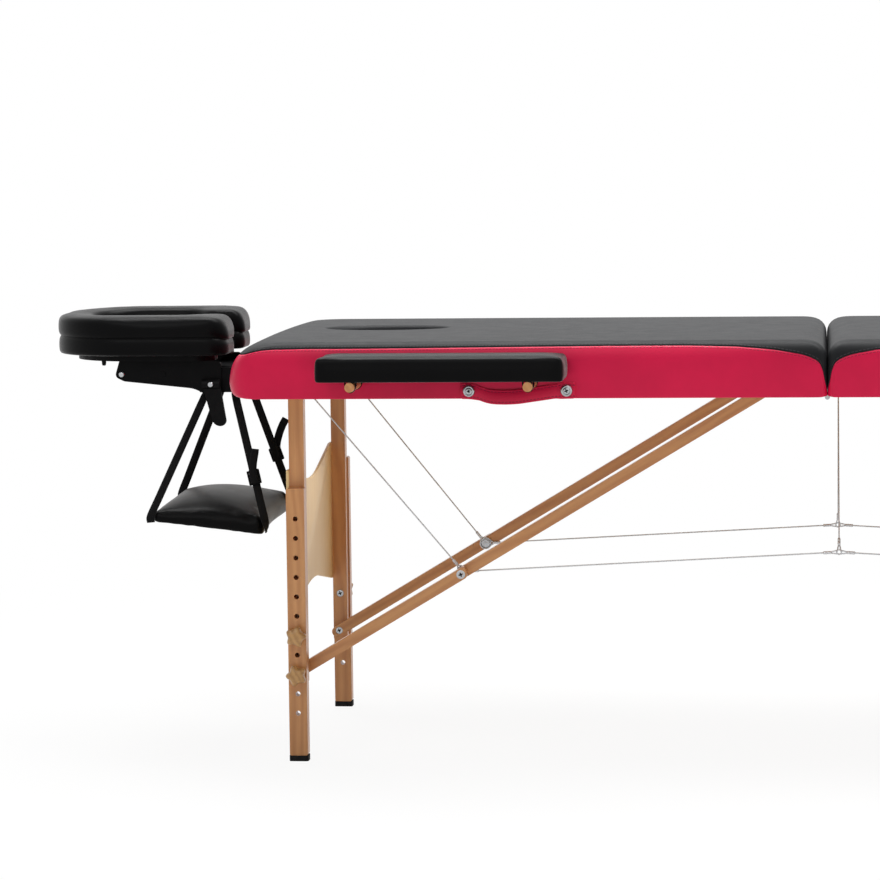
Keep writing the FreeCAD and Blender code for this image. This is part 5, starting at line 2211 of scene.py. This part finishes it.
@dataclass
class Fittings:
    """Screws, nuts, rivets, clips and the other small metal and plastic pieces."""

    knee: Point = (KNEE_X, 190.4, KNEE_Z)
    strut_face: float = 226.7
    plate_face: float = 107.3
    leg_x: float = LEG_X
    leg_inner: float = 227.0
    strut_inner: float = 208.7
    knob_face: float = 286.0
    rivet_x: float = -1142.0
    rivet_z: float = 605.0
    tilt: Pair = (-993.0, 589.0)
    dowel_x: Tuple[float, ...] = (-723.0, -451.0)
    dowel_z: float = 607.0
    clip_y: Tuple[float, ...] = (352.0, 424.0)
    clip_half: float = 5.0
    # A saddle's outer and inner line: radius across the dowel and depth below it.
    clip_lines: Tuple[Pair, ...] = ((9.4, 16.1), (7.7, 14.4))
    stud_at: Point = (-1178.0, -72.0, 627.2)
    knee_screw: Tuple[Pair, ...] = ((3.1, -6.0), (6.6, -1.2), (7.0, 0.05), (6.6, 0.2))
    rivet: Tuple[Pair, ...] = ((5.0, 0.0), (4.9, 0.7), (4.2, 2.0), (2.4, 2.8), (0.5, 3.0))
    pin: Tuple[Pair, ...] = ((4.6, 0.0), (4.6, 1.0), (3.8, 2.0), (1.0, 2.4))
    stud: Tuple[Pair, ...] = ((6.0, 0.0), (6.0, 1.4), (3.8, 2.2), (3.4, 8.0), (2.6, 9.8), (0.6, 10.2))

    def knees(self) -> None:
        """A flush cross-head screw outside and a hexagon nut inside on each knee."""
        for half in Half:
            for side in Side:
                out = Vector((0, side.value, 0))
                name = f"{half.prefix}_{side.prefix}"
                inner = at(half.value * self.knee[0], side.value * self.knee[1], self.knee[2])
                nut = hex_nut(name + "_knee_nut", inner, -out, 6.3, 6.2, 8.4)
                soften(wear(nut, "plated"), 30)
                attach(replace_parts(nut, half.prefix + "_knee_nuts"), half.prefix + "_upper_braces")
                face = at(half.value * self.knee[0], side.value * self.strut_face, self.knee[2])
                screw = cross_screw(name + "_knee_screw", face, out, self.knee_screw, 3.6, 1.0)
                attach(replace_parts(screw, half.prefix + "_knee_bolts"), half.prefix + "_lower_braces")

    def leg_bolts(self) -> None:
        """Knob bolts with flush cross heads, through the legs and, below, through the strut as well."""
        for half in Half:
            for side in Side:
                inward = Vector((0, -side.value, 0))
                for level, face in ((Level.LOWER, self.strut_inner), (Level.UPPER, self.leg_inner)):
                    long = self.knob_face - face
                    shape = [(3.1, -long), (3.1, -2.8), (5.6, -2.8), (6.0, -2.2), (6.0, -0.3), (5.6, 0.0)]
                    spot = at(half.value * self.leg_x, side.value * (face + 0.1), level.value)
                    name = f"{half.prefix}_{side.prefix}_{level.prefix}_leg_bolt"
                    bolt = cross_screw(name, spot, inward, shape, 3.4, 1.4)
                    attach(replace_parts(bolt, half.prefix + "_leg_fasteners"), half.prefix + "_leg_frame")

    def cradle(self) -> None:
        """Rivet caps on the side plates, the tilt bolt's ends and the stud under the platform."""
        for side in Side:
            out = Vector((0, side.value, 0))
            spot = at(self.rivet_x, side.value * self.plate_face, self.rivet_z)
            cap = turned(f"cradle_rivet_{side.prefix}", spot, out, self.rivet, 28)
            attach(soften(wear(cap, "plated")), "face_cradle")
        spot = at(self.tilt[0], self.plate_face, self.tilt[1])
        far = hex_nut("tilt_bolt_nut", spot, Vector((0, 1, 0)), 6.0, 6.5, 9.0)
        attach(soften(wear(far, "plated"), 30), "face_cradle")
        spot = at(self.tilt[0], -self.plate_face - 15.6, self.tilt[1])
        pin = turned("lever_pin", spot, Vector((0, -1, 0)), self.pin, 24)
        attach(soften(wear(pin, "plated")), "clamp_lever")
        stud = turned("platform_stud", at(*self.stud_at), Vector((0, 0, -1)), self.stud, 24)
        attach(soften(wear(stud, "black_nylon")), "face_cradle")

    def clip_section(self, x: float, y: float) -> List[Vector]:
        """A saddle's section: its outer line round the dowel, then back along its inner one.

        Args:
            x: The dowel's place.
            y: The section's place.

        Returns:
            The section's points.
        """
        section = []
        turns = list(range(0, 181, 15))
        for (radius, drop), order in zip(self.clip_lines, (turns, turns[::-1])):
            for degrees in order:
                angle = math.radians(180 + degrees)
                level = 7.2 if degrees in (0, 180) else 6.6 + math.sin(angle) * drop
                section.append(at(x + radius * math.cos(angle), y, self.dowel_z + level))
        return section

    def dowel_clips(self) -> None:
        """Black saddles that hold the dowels under the armrests."""
        for side in Side:
            for i, x in enumerate(self.dowel_x):
                for j, out in enumerate(self.clip_y):
                    shifts = (-self.clip_half, self.clip_half)
                    rings = [self.clip_section(x, side.value * (out + shift)) for shift in shifts]
                    clip = settle(bevelled(loft(f"dowel_clip_{side.prefix}_{i}{j}", rings), 0.5, 2))
                    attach(soften(wear(clip, "black_nylon"), 35), side.prefix + "_armrest")

    def build(self) -> None:
        """Build every fitting."""
        self.knees()
        self.leg_bolts()
        self.cradle()
        self.dowel_clips()


@dataclass
class KeptSolids:
    """The CAD pieces that keep their own shape: legs, struts, frame, deck and fittings."""

    struts: Tuple[Tuple[Half, Grain], ...] = ((Half.HEAD, Grain.RISING), (Half.FOOT, Grain.FALLING))

    def build(self) -> None:
        """Give each of them its finish."""
        for half, grain in self.struts:
            p = half.prefix
            dress("beech_upright", p + "_legs", p + "_near_extension", p + "_far_extension")
            dress("beech_" + grain.prefix, p + "_lower_struts", p + "_upper_struts")
            dress("beech_rails", p + "_frame")
            dress("plywood_deck", p + "_deck")
            dress("plated", p + "_hardware")
            dress("black_foot", p + "_near_rubber_foot", p + "_far_rubber_foot")
        dress("plated", "fold_hinge_pins")
        dress("beech_across", "near_armrest_dowels", "far_armrest_dowels")
        dress("black_paint", "headrest_base", "cradle_plates", "cradle_platform")
        dress("black_nylon", "cam_lever")


@dataclass(frozen=True)
class Lamp:
    """A large soft lamp: its place, what it points at and its size in metres, and its power in watts."""

    name: str
    place: Point
    aim: Point
    size: Pair
    power: float

    def build(self) -> None:
        """Hang the lamp."""
        data = bpy.data.lights.new(self.name, "AREA")
        data.shape = "RECTANGLE"
        data.size, data.size_y = self.size
        data.energy = self.power
        obj = bpy.data.objects.new(self.name, data)
        obj.location = self.place
        obj.rotation_euler = (Vector(self.aim) - Vector(self.place)).to_track_quat("-Z", "Y").to_euler()
        bpy.context.scene.collection.objects.link(obj)


@dataclass
class Studio:
    """Camera, floor and light."""

    camera_at: Point = (-7.4, -5673.9, 1005.5)
    yaw: float = -6.297
    pitch: float = -5.192
    roll: float = -0.7
    lens: float = 142.45
    floor_size: float = 30.0
    surround: float = 0.22
    lamps: Tuple[Lamp, ...] = (
        Lamp("key", (-1.6, -3.4, 3.4), (0, 0, 0.55), (2.6, 1.8), 32),
        Lamp("top", (0.2, 0.45, 3.6), (0, 0.1, 0.6), (4.5, 1.8), 210),
    )

    def camera(self) -> None:
        """A long lens at the photograph's viewing angle."""
        data = bpy.data.cameras.new("camera")
        data.lens = self.lens
        data.sensor_width = 36
        data.clip_end = 100
        obj = bpy.data.objects.new("camera", data)
        bpy.context.scene.collection.objects.link(obj)
        yaw, pitch, roll = (math.radians(v) for v in (self.yaw, self.pitch, self.roll))
        ahead = Vector((math.sin(yaw) * math.cos(pitch), math.cos(yaw) * math.cos(pitch), math.sin(pitch)))
        level = Vector((math.cos(yaw), -math.sin(yaw), 0))
        above = level.cross(ahead)
        right = level * math.cos(roll) + above * math.sin(roll)
        up = above * math.cos(roll) - level * math.sin(roll)
        turn = Matrix((right, up, -ahead)).transposed().to_4x4()
        obj.matrix_world = Matrix.Translation(at(*self.camera_at)) @ turn
        bpy.context.scene.camera = obj

    def seen(self, tree: Tree) -> Socket:
        """A mask of the rays that show the white background.

        Args:
            tree: The tree that uses it.

        Returns:
            One for those rays, zero for others.
        """
        path = tree.add("LightPath")
        direct = tree.maths("MAXIMUM", path.outputs["Is Camera Ray"], path.outputs["Is Transmission Ray"])
        return tree.maths("MAXIMUM", direct, path.outputs["Is Glossy Ray"])

    def world(self) -> None:
        """A white surround that lights the object at a plain level."""
        world = bpy.data.worlds.new("surround")
        world.use_nodes = True
        world.node_tree.nodes.clear()
        tree = Tree(world.node_tree)
        level = tree.maths("MAXIMUM", self.seen(tree), self.surround)
        back = tree.add("Background", {"Color": (1, 1, 1, 1), "Strength": level})
        tree.add("OutputWorld", {"Surface": back.outputs[0]})
        bpy.context.scene.world = world

    def floor(self) -> None:
        """A pale floor that shows the object's shadow and fades to white."""
        half = self.floor_size / 2
        corners = ((-half, -half), (half, -half), (half, half), (-half, half))
        floor = add_object("floor", [Vector((x, y, 0)) for x, y in corners], [[0, 1, 2, 3]])
        material = bpy.data.materials.new("pale_floor")
        material.use_nodes = True
        material.node_tree.nodes.clear()
        tree = Tree(material.node_tree)
        place = tree.add("TexCoord").outputs["Object"]
        speckle = tree.noise(place, 3.0, 4.0).outputs["Fac"]
        pale = tree.mix(speckle, (0.86, 0.86, 0.86, 1), (0.9, 0.9, 0.9, 1))
        matt = tree.add("BsdfDiffuse", {"Color": pale})
        glow = tree.add("Emission", {"Color": (1, 1, 1, 1), "Strength": 1.0})
        away = tree.add("VectorMath", {0: place}, operation="LENGTH").outputs["Value"]
        share = tree.maths("MULTIPLY", self.seen(tree), tree.spread(away, 0.92, 1.0, 0.9, 2.4))
        mixed = tree.add("MixShader", {0: share, 1: matt.outputs[0], 2: glow.outputs[0]})
        tree.add("OutputMaterial", {"Surface": mixed.outputs[0]})
        paint(floor, material)

    def build(self) -> None:
        """Set the stage."""
        bpy.context.scene.view_settings.view_transform = "Standard"
        self.camera()
        self.world()
        self.floor()
        for lamp in self.lamps:
            lamp.build()


def assemblies() -> List[object]:
    """The stage and every sub-assembly, in the order they are built in.

    Returns:
        Objects with a build method.
    """
    rows: List[object] = [Studio(), KeptSolids()]
    for half in Half:
        rows += [Upholstery(half), CarryHandle(half), LegPanel(half)]
        rows += [StarKnob(half, side, level) for side in Side for level in Level]
    rows += [Cables(), FaceCushion("face_pad", "face_cushion", "face_cradle", TIERS, crown=1.2, fill=0.8)]
    for side in Side:
        p = side.prefix
        names = (p + "_arm_pad", p + "_armrest_pad", p + "_armrest")
        rows.append(ArmrestPad(*names, CRISP, crown=2.4, fill=0.9, cap=1.2, side=side))
    return rows + [ArmSling(), Fittings()]


def main() -> None:
    """Build the table, and report each piece as it is made."""
    logging.basicConfig(level=logging.INFO, format="%(message)s")
    for assembly in assemblies():
        before = set(bpy.data.objects.keys())
        assembly.build()
        for name in sorted(set(bpy.data.objects.keys()) - before):
            LOG.info("made %s", name)


if __name__ == "__main__":
    main()
